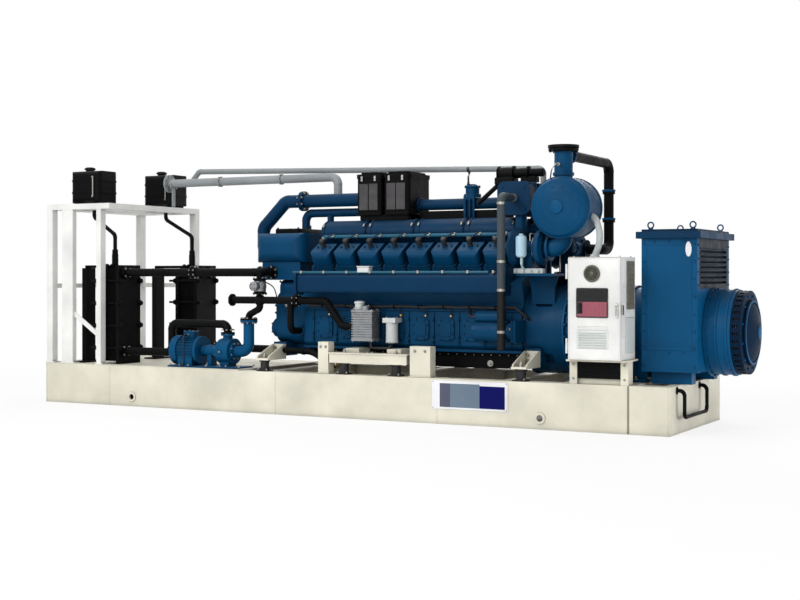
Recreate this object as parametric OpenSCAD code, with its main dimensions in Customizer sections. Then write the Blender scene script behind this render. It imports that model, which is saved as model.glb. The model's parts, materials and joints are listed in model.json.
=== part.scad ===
// Gas generator set: V16 gas engine, alternator and cooling module on one welded skid.
// X runs along the crankshaft (+X to the alternator), -Y is the control panel side, Z is up.
// The origin is on the ground, under the middle cross member of the skid.

/* [Skid] */
// Length of the skid over its end members
skid_l = 7000; // [6400:50:8400]
// Width of the skid over the webs of its rails
skid_w = 1600; // [1400:10:1900]
// Height of the skid's rails
skid_h = 420; // [340:10:500]
// Width of a rail's flanges
rail_flange = 150; // [110:5:180]
// Web and flange thickness of the rails
rail_t = 14; // [8:1:20]
// Height of the cross members
cross_h = 300; // [200:10:340]
// Thickness of the deck plate under the cooling module
deck_t = 8; // [5:1:12]
// Diameter of the lifting holes in the rails
lift_hole_d = 60; // [40:2:80]
// Diameter of the four foundation bolt holes
anchor_hole_d = 26; // [18:1:32]

/* [Crank line] */
// Height of the crankshaft above the ground
crank_z = 870; // [850:5:980]

/* [Engine] */
// Cylinders in each bank
bank_cylinders = 8; // [4:1:8]
// Distance between neighbouring cylinders
pitch = 270; // [240:5:280]
// Tilt of each bank from the vertical
bank_tilt = 30; // [24:1:35]
// Crankshaft to the deck that carries the heads
deck_height = 590; // [560:5:640]
// Height of a cylinder head
head_h = 150; // [120:5:180]
// Width of a cylinder head across the bank
head_w = 290; // [260:5:300]
// Height of a rocker cover
cover_h = 165; // [120:5:190]
// Half width of the crankcase
case_half_w = 430; // [400:5:450]
// X of the front face of the crankcase
case_x = -400; // [-500:10:-350]
// Height of the oil sump
sump_h = 150; // [100:5:170]
// Radius of the flywheel housing
bell_r = 420; // [380:5:430]
// Length of the flywheel housing
bell_l = 380; // [300:10:420]

/* [Alternator] */
// Radius of the stator frame
stator_r = 415; // [380:5:430]
// Length of the stator frame
stator_l = 860; // [700:10:950]
// Length of the square air housing along the shaft
housing_l = 500; // [400:10:600]
// Width of the air housing
housing_w = 1050; // [950:10:1150]
// Height of the air housing's roof above the ground
housing_top = 1700; // [1500:10:1800]
// Clear height under the air housing above the skid
housing_gap = 110; // [60:5:140]
// Radius of the end drum
drum_r = 380; // [340:5:400]
// Length of the end drum
drum_l = 300; // [220:10:360]

/* [Cooling frame] */
// Length of the cooling frame along the skid
frame_l = 790; // [700:10:1000]
// Height of the frame's top above the ground
frame_top = 2150; // [2000:10:2300]
// Side of the frame's square posts
post_w = 80; // [60:5:100]
// Width of the cable post on the panel side
cable_post_w = 150; // [100:5:160]
// Height of the frame's horizontal bars
bar_h = 60; // [50:5:80]

/* [Header tanks] */
// Length of a header tank along the skid
tank_l = 400; // [340:10:440]
// Width of a header tank
tank_w = 330; // [260:10:400]
// Height of a header tank
tank_h = 350; // [280:10:420]

/* [Heat exchangers] */
// Plates in each pack
phe_plates = 24; // [12:1:24]
// Distance between neighbouring plates
phe_pitch = 9; // [7:0.5:10]
// Width of a plate
phe_w = 300; // [260:5:360]
// Height of a plate
phe_h = 1000; // [800:10:1060]
// Thickness of the fixed and the moving end plate
phe_end_t = 40; // [25:1:50]
// Fixed end plate to the column, along the bars
phe_reach = 540; // [480:5:640]

/* [Pipework] */
// Outside diameter of the coolant pipes
coolant_d = 84; // [60:2:100]
// Outside diameter of the overhead gas pipe
gas_d = 90; // [60:2:114]
// Outside diameter of the exhaust riser
exhaust_d = 168; // [140:2:200]

/* [Control panel] */
// Width of the panel
panel_w = 480; // [400:10:520]
// Height of the panel
panel_h = 890; // [700:10:1000]
// Depth of the panel with its door
panel_d = 400; // [300:10:400]
// Height of the stand under the panel
stand_h = 220; // [150:10:260]
// Sheet thickness of the panel
panel_t = 12; // [6:1:16]
// Thickness of the folded door
door_t = 24; // [16:1:30]

/* [Hidden] */
$fn = 48;

// Colours
cream = "#e9e4d2";
white = "#efefea";
black = "#1b1c1f";
blue = "#0d4f7d";
grey = "#8f9699";
pale = "#c9ccc8";

// Skid
half_l = skid_l / 2;
half_w = skid_w / 2;
deck_z = skid_h + deck_t;
deck_x1 = -950;

// Engine
case_l = bank_cylinders * pitch + 220;
case_x1 = case_x + case_l;
bank_x = case_x + 110 + pitch / 2;
case_z0 = crank_z - 220;
head_z = deck_height;
cover_z = head_z + head_h;
bell_x1 = case_x1 + bell_l;

// Alternator
stator_x = bell_x1;
stator_x1 = stator_x + stator_l;
housing_x = stator_x1 - 60;
housing_x1 = housing_x + housing_l;
housing_z = skid_h + housing_gap;
drum_x1 = housing_x1 + drum_l;

// Cooling frame and tanks
frame_x = -half_l + 10;
frame_x1 = frame_x + frame_l + post_w;
frame_y = half_w - post_w;
tank_foot = 20;
tank_z = frame_top + tank_foot;

// Heat exchangers: [x of the fixed plate's outer face, y of the centre, reach to the column]
phe_near = [-half_l + 930, -half_w + 280, phe_reach];
phe_far = [-half_l + 1310, half_w - 450, phe_reach + 110];
phe_z = deck_z + 30;
phe_pack_l = phe_plates * phe_pitch;
port_y = phe_w / 4;
port_low = 110;
port_high = phe_h - 50;

// Returns v scaled to unit length
function unit(v) = v / norm(v);

// Rectangle with round corners, centred
module round_rect(w, h, r) {
    square([w - 2 * r, h], center = true);
    square([w, h - 2 * r], center = true);
    for (x = [-1, 1], y = [-1, 1])
        translate([x * (w / 2 - r), y * (h / 2 - r)])
            circle(r);
}

// Box with round long edges: along X, from x = 0, centred on Y and Z
module bar_x(l, w, h, r) {
    rotate([90, 0, 90])
        linear_extrude(l)
            round_rect(w, h, r);
}

// Round bar or disc along X, from x = 0
module rod_x(d, l) {
    rotate([0, 90, 0])
        cylinder(d = d, h = l);
}

// Turns the Z axis to direction w, with the X axis along u
module face_to(p, u, w) {
    v = cross(w, u);
    multmatrix([
        [u[0], v[0], w[0], p[0]],
        [u[1], v[1], w[1], p[1]],
        [u[2], v[2], w[2], p[2]],
        [0, 0, 0, 1],
    ])
        children();
}

// Cylinder from p to q
module rod(p, q, d) {
    w = unit(q - p);
    side = abs(w[2]) > 0.9 ? [1, 0, 0] : [0, 0, 1];
    u = unit(cross(side, w));
    face_to(p, u, w)
        cylinder(d = d, h = norm(q - p));
}

// Length that a bend of radius r takes from the straight on each side of point i
function trim(pts, i, r) = (i == 0 || i == len(pts) - 1)
    ? 0
    : r * tan(acos(unit(pts[i] - pts[i - 1]) * unit(pts[i + 1] - pts[i])) / 2);

// Pipe of diameter d through pts: straight lengths joined by slightly thicker bends of radius r
module pipe(pts, d, r) {
    last = len(pts) - 1;
    lap = 4;
    band = 3;
    for (i = [0:last - 1]) {
        w = unit(pts[i + 1] - pts[i]);
        t0 = i == 0 ? 0 : trim(pts, i, r) - lap;
        t1 = i == last - 1 ? 0 : trim(pts, i + 1, r) - lap;
        rod(pts[i] + w * t0, pts[i + 1] - w * t1, d);
    }
    if (last > 1)
        for (i = [1:last - 1]) {
            u = unit(pts[i] - pts[i - 1]);
            v = unit(pts[i + 1] - pts[i]);
            inward = unit(v - u * (u * v));
            start = pts[i] - u * trim(pts, i, r);
            face_to(start + inward * r, -inward, cross(-inward, u))
                rotate_extrude(angle = acos(u * v))
                    translate([r, 0])
                        circle(d = d + band);
        }
}

// Pair of bolted flanges on a pipe at p, square to direction w
module flange_pair(p, w, pipe_d, t = 18) {
    for (k = [-1, 1])
        rod(p + w * (k < 0 ? -t - 2 : 2), p + w * (k < 0 ? -2 : t + 2), pipe_d * 1.7);
    rod(p - w * 3, p + w * 3, pipe_d * 1.3);
}

// Flange with a ring of bolt holes, standing on the plane z = 0
module drilled_flange(d, bore, pcd, holes, hole_d, t) {
    difference() {
        cylinder(d = d, h = t);
        translate([0, 0, -1])
            cylinder(d = bore, h = t + 2);
        for (i = [0:holes - 1])
            rotate([0, 0, (i + 0.5) * 360 / holes])
                translate([pcd / 2, 0, -1])
                    cylinder(d = hole_d, h = t + 2);
    }
}

// Puts a child in the frame of a bank: Z along its cylinders, side = -1 is the panel side
module bank(side) {
    translate([0, 0, crank_z])
        rotate([-side * bank_tilt, 0, 0])
            children();
}

// Rolled channel along X from x = 0: web outside at y = 0, flanges towards side * y
module channel_x(l, h, flange, t, side) {
    difference() {
        translate([0, side > 0 ? 0 : -flange, 0])
            cube([l, flange, h]);
        translate([-1, side > 0 ? t : -flange - 1, t])
            cube([l + 2, flange - t + 1, h - 2 * t]);
    }
}

// The two long channels, webs outside, with lifting holes and foundation bolt holes
module base_rails() {
    stiff_t = 12;
    color(cream)
        for (s = [-1, 1])
            difference() {
                union() {
                    translate([-half_l + rail_t, s * half_w, 0])
                        channel_x(skid_l - 2 * rail_t, skid_h, rail_flange, rail_t, -s);
                    for (x = stiffener_xs)
                        translate([x, s * (half_w - rail_flange / 2), skid_h / 2])
                            cube([stiff_t, rail_flange, skid_h], center = true);
                }
                for (x = [-1, 1])
                    translate([x * lift_x, s * half_w, lift_z])
                        rotate([90, 0, 0])
                            cylinder(d = lift_hole_d, h = 4 * rail_t, center = true);
                for (x = [-1, 1])
                    translate([x * anchor_x, s * anchor_y, -1])
                        cylinder(d = anchor_hole_d, h = rail_t + 2);
            }
}

anchor_x = half_l - 200;
anchor_y = half_w - rail_flange + 65;
lift_x = half_l - 1190;
lift_z = 100;
stiffener_xs = [-half_l + 890, -half_l + 2990, half_l - 2220, half_l - 370];

// I-section cross members between the rails' webs
module base_cross_members() {
    flange = 120;
    web = 12;
    span = 2 * (half_w - rail_flange);
    xs = [
        -half_l + 600, -half_l / 2, case_x - 250, 0,
        case_x + 1100, case_x1 - 30, stator_x + 180, stator_x1 - 120,
    ];
    color(cream)
        for (x = xs) {
            z1 = x == 0 ? skid_h - 100 : skid_h;
            z0 = x == 0 ? 0 : z1 - cross_h;
            translate([x - flange / 2, -span / 2, z0])
                cube([flange, span, rail_t]);
            translate([x - flange / 2, -span / 2, z1 - rail_t])
                cube([flange, span, rail_t]);
            translate([x - web / 2, -span / 2, z0])
                cube([web, span, z1 - z0]);
        }
}

// Channels that close the skid's two ends
module base_end_members() {
    color(cream)
        for (s = [-1, 1])
            difference() {
                translate([s > 0 ? half_l - 90 : -half_l, -half_w, 0])
                    cube([90, skid_w, skid_h]);
                translate([s > 0 ? half_l - 91 : -half_l + rail_t, -half_w - 1, rail_t])
                    cube([91 - rail_t, skid_w + 2, skid_h - 2 * rail_t]);
                translate([s > 0 ? half_l - 91 : -half_l + rail_t, -half_w - 1, -1])
                    cube([91 - rail_t, rail_flange + 1, skid_h + 2]);
                translate([s > 0 ? half_l - 91 : -half_l + rail_t, half_w - rail_flange, -1])
                    cube([91 - rail_t, rail_flange + 1, skid_h + 2]);
            }
}

// Plate that the cooling module stands on, between the rails' webs
module deck_plate() {
    color(cream)
        translate([-half_l + 1, -half_w + 1, skid_h])
            cube([deck_x1 + half_l - 1, skid_w - 2, deck_t]);
}

// Round bar loop welded to the end of the skid for dragging it
module drag_loop() {
    bar_d = 32;
    x1 = half_l + 70;
    y0 = -half_w + 200;
    y1 = 100;
    z0 = 150;
    z1 = skid_h - 40;
    color(black)
        pipe([
            [half_l, y0, z1],
            [x1, y0, z1],
            [x1, y0, z0],
            [x1, y1, z0],
            [x1, y1, z1],
            [half_l, y1, z1],
        ], bar_d, 45);
}

// Upright of the cooling frame with its foot plate, w along X and d along Y
module post(x, y, w, d) {
    foot = 12;
    translate([x - w / 2, y - d / 2, deck_z])
        cube([w, d, frame_top - bar_h - deck_z]);
    translate([x - w / 2 - 20, y - d / 2 - (y < 0 ? 0 : 20), deck_z])
        cube([w + 40, d + 20, foot]);
}

// Corner posts of the cooling frame, and the flat cable post beside the near left one
cable_post_x = frame_x + 290;
brace_post_x = frame_x1 - 145;
brace_post_w = 60;

module frame_posts() {
    y = half_w - post_w / 2 - 2;
    color(white) {
        post(frame_x + post_w / 2, -y, post_w, post_w);
        post(frame_x + post_w / 2, y, post_w, post_w);
        post(frame_x1 - post_w / 2, y, post_w, post_w);
        post(brace_post_x, -y, brace_post_w, post_w);
        post(cable_post_x, -half_w + 32, cable_post_w, 60);
    }
}

// Top ring, the bars that carry the tanks, side bars and one diagonal brace: each bar a solid of its own
module frame_rails() {
    y_out = half_w - 2;
    z = frame_top - bar_h;
    gap = 0.3;
    inner = 2 * (y_out - post_w - gap);
    mid_w = post_w * 0.6;
    mid_z = 1240;
    brace_x0 = cable_post_x + cable_post_w / 2 + gap;
    brace_x1 = brace_post_x - brace_post_w / 2 - gap;
    brace_z0 = 990;
    brace_z1 = 770;
    brace_h = 60;
    color(white) {
        for (y = [-y_out, y_out - post_w])
            translate([frame_x, y, z])
                cube([frame_l + post_w, post_w, bar_h]);
        for (x = concat([frame_x + post_w / 2], tank_bar_x))
            translate([x - post_w / 2, -inner / 2, z])
                cube([post_w, inner, bar_h]);
        translate([frame_x + post_w * 0.2, -inner / 2, mid_z])
            cube([mid_w, inner, mid_w]);
        translate([frame_x + post_w + gap, y_out - post_w * 0.8, mid_z])
            cube([frame_l - post_w - 2 * gap, mid_w, mid_w]);
        translate([0, -y_out + post_w * 0.5, 0])
            rotate([90, 0, 0])
                linear_extrude(12)
                    polygon([
                        [brace_x0, brace_z0 - brace_h],
                        [brace_x1, brace_z1 - brace_h],
                        [brace_x1, brace_z1],
                        [brace_x0, brace_z0],
                    ]);
    }
}

tank_bar_x = [frame_x + 230, frame_x + 505, frame_x1 - post_w / 2];
tank_near = [(tank_bar_x[0] + tank_bar_x[1]) / 2, -half_w + 350];
tank_far = [(tank_bar_x[1] + tank_bar_x[2]) / 2, half_w - 370];

// Pressed header tank on two feet, with its filler cap and outlet stub
module header_tank(p) {
    r = 60;
    neck_d = 90;
    translate([p[0], p[1], tank_z]) {
        translate([0, 0, tank_h / 2])
            intersection() {
                translate([-tank_l / 2, 0, 0])
                    bar_x(tank_l, tank_w, tank_h, r);
                translate([0, 0, -tank_h / 2])
                    linear_extrude(tank_h)
                        round_rect(tank_l, tank_w, r);
            }
        for (x = [-1, 1])
            translate([x * 137 - 20, -tank_w / 2 + 40, -tank_foot])
                cube([40, tank_w - 80, tank_foot + 10]);
        translate([-60, 0, tank_h - 5])
            cylinder(d = neck_d, h = 25);
        translate([-60, 0, tank_h + 20])
            cylinder(d = neck_d + 24, h = 22);
    }
}

module header_tanks() {
    color(black) {
        header_tank(tank_near);
        header_tank(tank_far);
    }
}

// Steel pipes from the tanks to the vent pots of the heat exchangers
module tank_downpipes() {
    d = 42;
    color(black) {
        tank_downpipe(tank_near, phe_near, d);
        tank_downpipe(tank_far, phe_far, d);
    }
}

// One pipe: down from the middle of the tank, across, and down onto the vent pot
module tank_downpipe(tank, phe, d) {
    to = [phe[0] - pot_back, phe[1], phe_z + phe_h + pot_h + 0.3];
    pipe([
        [tank[0], tank[1], tank_z - 0.3],
        [tank[0], tank[1], frame_top - 130],
        [to[0], to[1], to[2] + 210],
        to,
    ], d, 60);
    rod(to, to + [0, 0, 50], d * 1.5);
}

pot_h = 150;
pot_back = phe_end_t + 160;

// One heat exchanger: end plates held by tie bolts, the column on its foot, and the carrying bar on both
module phe_frame(p) {
    bolt_d = 24;
    bolt_y = phe_w / 2 + 16;
    bolt_zs = [140, 380, 620, 860];
    bar_w = 50;
    column_w = 60;
    gap = 0.3;
    plate_w = phe_w + 60;
    plate_x = -phe_pack_l - 2 * phe_end_t;
    column_x = -p[2] - column_w;
    translate([p[0], p[1], phe_z]) {
        difference() {
            translate([-phe_end_t, -plate_w / 2, -30])
                cube([phe_end_t, plate_w, phe_h + 60]);
            for (y = [-1, 1], z = [port_low, port_high])
                translate([-phe_end_t - 1, y * port_y, z])
                    rod_x(coolant_d - 12, phe_end_t + 2);
        }
        translate([plate_x, -plate_w / 2, 20])
            cube([phe_end_t, plate_w, phe_h - 40]);
        for (s = [-1, 1], z = bolt_zs) {
            translate([plate_x - 90, s * bolt_y, z])
                rod_x(bolt_d, 120 - plate_x);
            for (x = [plate_x - 26, 0])
                translate([x, s * bolt_y, z])
                    rod_x(42, 26);
        }
        translate([column_x, -phe_w / 4, -30])
            cube([column_w, phe_w / 2, phe_h + 30]);
        translate([column_x - 50, -phe_w / 2, -30])
            cube([160, phe_w, 16]);
        translate([column_x, -bar_w / 2, phe_h + gap])
            cube([-phe_end_t - gap - column_x, bar_w, 30]);
        translate([-pot_back, 0, phe_h + 30])
            cylinder(d = 70, h = pot_h - 30);
        for (s = [-1, 1])
            translate([0, s * port_y, port_high])
                rotate([0, 90, 0])
                    drilled_flange(coolant_d * 1.6, coolant_d - 12, coolant_d * 1.3, 4, 12, 20);
    }
}

module phe_frames() {
    color(black) {
        phe_frame(phe_near);
        phe_frame(phe_far);
    }
}

// Pack of thin plates between the end plates; every second one is a little smaller
module phe_pack(p) {
    gap = 0.3;
    translate([p[0] - phe_end_t - phe_pack_l, p[1], phe_z + phe_h / 2]) {
        translate([gap, -phe_w / 2 + 12, -phe_h / 2 + 12])
            cube([phe_pack_l - 2 * gap, phe_w - 24, phe_h - 24]);
        for (i = [0:phe_plates - 1])
            translate([(i + 0.25) * phe_pitch, -phe_w / 2, -phe_h / 2])
                cube([phe_pitch / 2, phe_w, phe_h]);
    }
}

module phe_plate_packs() {
    color(black) {
        phe_pack(phe_near);
        phe_pack(phe_far);
    }
}

// Circulation pump on its bed: motor, coupling, bearing frame, volute and the suction elbow, in this order
pump_x = phe_near[0] + 1270;
pump_y = phe_near[1] - port_y;
pump_z = deck_z + 170;
pump_bed_h = 16;
volute_r = 150;
volute_l = 150;
motor_l = 330;
motor_r = 150;
motor_x = pump_x - 240 - motor_l;
elbow_x = pump_x + volute_l + 185;
elbow_z = pump_z + 322;
pump_out_x = pump_x + volute_l / 2;
pump_out_z = pump_z + volute_r + 28;

module pump_casing() {
    bed_z = deck_z + pump_bed_h - pump_z;
    bearing_l = 170;
    guard_x = motor_x + motor_l + 6;
    color(blue) {
        translate([pump_x, pump_y, pump_z]) {
            rotate([90, 0, 90])
                linear_extrude(volute_l) {
                    circle(volute_r * 0.86);
                    translate([volute_r * 0.12, 0])
                        circle(volute_r * 0.88);
                }
            translate([volute_l / 2, 0, 0])
                cylinder(d = coolant_d + 16, h = volute_r + 12);
            translate([volute_l / 2, 0, volute_r + 10])
                cylinder(d = coolant_d * 1.7, h = 18);
            translate([20, -70, bed_z - 1])
                cube([volute_l - 40, 140, -bed_z - volute_r / 2]);
            translate([-bearing_l, 0, 0])
                rod_x(120, bearing_l + 1);
            translate([-24, 0, 0])
                rod_x(210, 25);
            translate([-bearing_l + 20, -50, bed_z - 1])
                cube([50, 100, -bed_z - 40]);
            translate([volute_l - 1, 0, 0])
                rod_x(180, 25);
        }
        translate([guard_x, pump_y, pump_z])
            rod_x(110, pump_x - bearing_l - guard_x - 6);
        rod([motor_x + motor_l + 0.3, pump_y, pump_z], [pump_x - bearing_l + 1, pump_y, pump_z], 46);
        pipe([
            [pump_x + volute_l + 10, pump_y, pump_z],
            [elbow_x, pump_y, pump_z],
            [elbow_x, pump_y, elbow_z - 10],
        ], coolant_d + 26, 95);
        translate([elbow_x, pump_y, elbow_z - 18])
            cylinder(d = coolant_d * 2.1, h = 18);
        translate([motor_x - 15, pump_y - 150, deck_z + 0.3])
            cube([elbow_x - 40 - motor_x, 300, pump_bed_h - 0.3]);
    }
}

// Finned electric motor with fan cowl, terminal box and feet
module pump_motor() {
    fin_h = 16;
    fins = 28;
    cowl_l = 80;
    color(blue)
        translate([motor_x, pump_y, pump_z]) {
            rod_x(2 * (motor_r - fin_h), motor_l);
            for (i = [0:fins - 1])
                rotate([i * 360 / fins, 0, 0])
                    translate([cowl_l - 10, -2.5, motor_r - fin_h - 3])
                        cube([motor_l - cowl_l - 30, 5, fin_h + 3]);
            translate([motor_l - 30, 0, 0])
                rod_x(2 * motor_r, 30);
            rod_x(2 * motor_r + 4, cowl_l);
            translate([cowl_l + 40, -50, motor_r - 20])
                cube([120, 100, 60]);
            for (s = [-1, 1])
                translate([cowl_l + 20, s * 100 - 30, deck_z + pump_bed_h + 0.3 - pump_z])
                    cube([180, 60, 110]);
        }
}

// Near circuit: top pipe to the engine, header under it with the control valve between the two,
// pump suction and engine inlet below the header, and the pump's delivery back to the heat exchanger
module coolant_pipes_near() {
    y = pump_y;
    x0 = phe_near[0];
    top_z = phe_z + port_high;
    low_z = phe_z + port_low;
    d = coolant_d - 10;
    branch_d = d - 6;
    valve_x = thermo_x + 180;
    header_x0 = thermo_x - 150;
    run_z = pump_out_z + 99;
    rise_x = motor_x - 70;
    valve_z = (top_z + header_z) / 2;
    valve_d = branch_d + 52;
    color(black) {
        pipe([
            [x0 + 20.3, y, top_z],
            [valve_x, y, top_z],
            [valve_x, -case_half_w + 59.7, top_z],
        ], coolant_d, 90);
        rod([x0 + 20.3, y, top_z], [x0 + 38, y, top_z], coolant_d * 1.6);
        rod([valve_x, -case_half_w + 43, top_z], [valve_x, -case_half_w + 59.7, top_z], coolant_d * 1.6);
        flange_pair([x0 + 920, y, top_z], [1, 0, 0], coolant_d);
        rod([valve_x, y, header_z], [valve_x, y, top_z], branch_d);
        rod([valve_x, y, valve_z - 62], [valve_x, y, valve_z + 62], valve_d);
        for (z = [valve_z - 80, valve_z + 62])
            rod([valve_x, y, z], [valve_x, y, z + 18], valve_d + 24);
        rod([valve_x, y, valve_z], [valve_x, y - 120, valve_z], valve_d - 42);
        pipe([
            [header_x0, y, header_z],
            [oil_cooler_x - 320, y, header_z],
            [oil_cooler_x - 130, y, crank_z + 10],
            [oil_cooler_x - 0.3, y, crank_z + 10],
        ], d, 60);
        rod([header_x0 - 18, y, header_z], [header_x0 + 2, y, header_z], d * 1.7);
        rod([oil_cooler_x - 16, y, crank_z + 10], [oil_cooler_x - 0.3, y, crank_z + 10], d * 1.4);
        flange_pair([engine_in_x + 75, y, header_z], [1, 0, 0], d);
        translate([valve_x, y, header_z])
            sphere(d = d + 44);
        pipe([
            [valve_x, y, header_z],
            [valve_x, y, header_z - 86],
            [elbow_x, y, header_z - 151],
            [elbow_x, y, elbow_z + 0.3],
        ], branch_d, 50);
        rod([elbow_x, y, elbow_z + 0.3], [elbow_x, y, elbow_z + 18], coolant_d * 2.1);
        pipe([
            [engine_in_x, y, header_z],
            [engine_in_x, y, engine_in_z],
            [engine_in_x, -case_half_w + 9.7, engine_in_z],
        ], branch_d, 70);
        pipe([
            [pump_out_x, y, pump_out_z + 0.3],
            [pump_out_x, y, run_z],
            [rise_x, y, run_z],
            [rise_x, y, low_z],
            [x0, y, low_z],
        ], coolant_d, 70);
        rod([pump_out_x, y, pump_out_z + 0.3], [pump_out_x, y, pump_out_z + 18], coolant_d * 1.7);
        rod([x0, y, low_z], [x0 + 20, y, low_z], coolant_d * 1.6);
    }
}

header_z = crank_z + 256;
engine_in_x = case_x - 62;
engine_in_z = crank_z - 50;

// Far circuit: heat exchanger to the engine's top and to the pump on its gear case
module coolant_pipes_far() {
    y = phe_far[1] + port_y;
    x0 = phe_far[0];
    top_z = phe_z + port_high;
    low_z = phe_z + port_low;
    color(black) {
        pipe([
            [x0 + 20.3, y, top_z],
            [thermo_x - 290, y, top_z],
            [thermo_x - 170, neck_y, top_z],
            [thermo_x - 0.3, neck_y, top_z],
        ], coolant_d, 100);
        rod([x0 + 20.3, y, top_z], [x0 + 38, y, top_z], coolant_d * 1.6);
        rod([thermo_x - 18, neck_y, top_z], [thermo_x - 0.3, neck_y, top_z], coolant_d * 1.7);
        flange_pair([thermo_x - 490, y, top_z], [1, 0, 0], coolant_d);
        pipe([
            [x0, y, low_z],
            [front_x - 330, y, low_z],
            [front_x - 330, water_pump_y, water_pump_z],
            [front_x - 10.3, water_pump_y, water_pump_z],
        ], coolant_d, 60);
    }
}

thermo_x = case_x - 610;
neck_y = 280;
front_x = case_x - 420;
water_pump_y = 305;
water_pump_z = crank_z - 30;

// Cast crankcase: V-shaped section with ribs, a rounded door over each crank throw
deck_out = 150;
deck_in = 160;
valley_depth = 100;
valley_y = deck_height * sin(bank_tilt) - deck_in * cos(bank_tilt);
valley_z = crank_z + deck_height * cos(bank_tilt) + deck_in * sin(bank_tilt) - valley_depth;

module crankcase() {
    out_y = deck_height * sin(bank_tilt) + deck_out * cos(bank_tilt);
    out_z = crank_z + deck_height * cos(bank_tilt) - deck_out * sin(bank_tilt);
    in_z = valley_z + valley_depth;
    door_w = pitch * 0.66;
    door_h = 210;
    color(blue) {
        translate([case_x, 0, 0])
            rotate([90, 0, 90])
                linear_extrude(case_l)
                    polygon([
                        [-case_half_w + 40, case_z0],
                        [case_half_w - 40, case_z0],
                        [case_half_w, case_z0 + 60],
                        [case_half_w, crank_z + 160],
                        [out_y - 40, crank_z + 240],
                        [out_y, out_z],
                        [valley_y, in_z],
                        [0, valley_z],
                        [-valley_y, in_z],
                        [-out_y, out_z],
                        [-out_y + 40, crank_z + 240],
                        [-case_half_w, crank_z + 160],
                        [-case_half_w, case_z0 + 60],
                    ]);
        for (i = [0:bank_cylinders - 1], side = [-1, 1])
            translate([bank_x + i * pitch, side * (case_half_w - 1), crank_z - 10])
                rotate([90, 0, 0])
                    linear_extrude(2 * 16, center = true)
                        round_rect(door_w, door_h, 40);
        for (i = [0:bank_cylinders], side = [-1, 1])
            translate([bank_x + (i - 0.5) * pitch - 9, side * case_half_w - 12, case_z0 + 60])
                cube([18, 24, crank_z + 90 - case_z0]);
        for (z = [case_z0, crank_z + 165], side = [-1, 1])
            translate([case_x, side > 0 ? case_half_w - 45 : -case_half_w - 15, z])
                cube([case_l, 60, 24]);
    }
}

// Oil sump with a sloping floor and a flange under the crankcase
module oil_sump() {
    wall_y = case_half_w - 70;
    color(black)
        translate([case_x + 40, 0, 0]) {
            rotate([90, 0, 0])
                linear_extrude(2 * wall_y, center = true)
                    polygon([
                        [0, case_z0 - 12],
                        [case_l - 80, case_z0 - 12],
                        [case_l - 80, case_z0 - sump_h],
                        [case_l * 0.45, case_z0 - sump_h],
                        [case_l * 0.30, case_z0 - sump_h + 40],
                        [60, case_z0 - sump_h + 40],
                        [0, case_z0 - sump_h + 80],
                    ]);
            translate([0, -wall_y - 25, case_z0 - 20])
                cube([case_l - 80, 2 * wall_y + 50, 19.7]);
        }
}

// Gear case at the front of the crankcase with its covers, water pumps and mount pads
module front_cover() {
    depth = case_x - front_x;
    color(blue) {
        translate([front_x + 60, 0, 0])
            rotate([90, 0, 90])
                linear_extrude(depth - 60.3) {
                    translate([0, crank_z + 80])
                        round_rect(2 * case_half_w - 60, 520, 120);
                    translate([0, crank_z + 280])
                        round_rect(2 * case_half_w - 200, 360, 80);
                    translate([0, crank_z - 100])
                        round_rect(500, 300, 60);
                }
        translate([front_x + 10, 0, crank_z + 330])
            bar_x(51, 400, 200, 60);
        for (s = [-1, 1]) {
            translate([front_x + 10, s * water_pump_y, water_pump_z])
                rod_x(190, 51);
            translate([front_x - 10, s * water_pump_y, water_pump_z])
                rod_x(150, 21);
            translate([engine_in_x, s * (case_half_w - 30), engine_in_z])
                rotate([90, 0, 0])
                    cylinder(d = 108, h = 40, center = true);
            translate([front_x + 200, s * (case_half_w - 30), crank_z + 210])
                rotate([90, 0, 0])
                    cylinder(d = 170, h = 40, center = true);
            mount_pad(mount_xs[0], 230, s);
        }
    }
}

// Coolant outlet housing over the gear case: rounded casting on a saddle, with the far circuit's neck
module thermostat_housing() {
    l = case_x - 30 - thermo_x;
    w = 900;
    h = 300;
    z = crank_z + 790;
    neck_z = phe_z + port_high;
    saddle_z = crank_z + 460.3;
    color(blue) {
        translate([0, 0, z])
            intersection() {
                translate([thermo_x, 0, 0])
                    bar_x(l, w, h, 110);
                translate([thermo_x + l / 2, 0, -h / 2 - 1])
                    linear_extrude(h + 2)
                        round_rect(l + 2, w + 2, 130);
            }
        translate([thermo_x + 60, -case_half_w + 60, saddle_z])
            cube([l - 120, 2 * case_half_w - 120, z - h / 2 + 15 - saddle_z]);
        translate([thermo_x, neck_y, neck_z])
            rod_x(coolant_d * 1.5, 100);
    }
}

// Pad that carries a mount bracket: from y = y0 out to the bracket's plate
module mount_pad(x, y0, side) {
    l = case_half_w + 15 - y0;
    translate([x - mount_w / 2, side > 0 ? y0 : -y0 - l, mount_pad_z + 30])
        cube([mount_w, l, 140]);
}

// Torsional damper on the free end of the crankshaft
module crank_damper() {
    color(black)
        translate([front_x + 59.7, 0, crank_z])
            rotate([0, -90, 0])
                rotate_extrude($fn = 72)
                    polygon([
                        [0, 0], [90, 0], [90, 60], [185, 60], [185, 140],
                        [150, 140], [140, 120], [80, 120], [70, 165], [0, 165],
                    ]);
}

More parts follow.
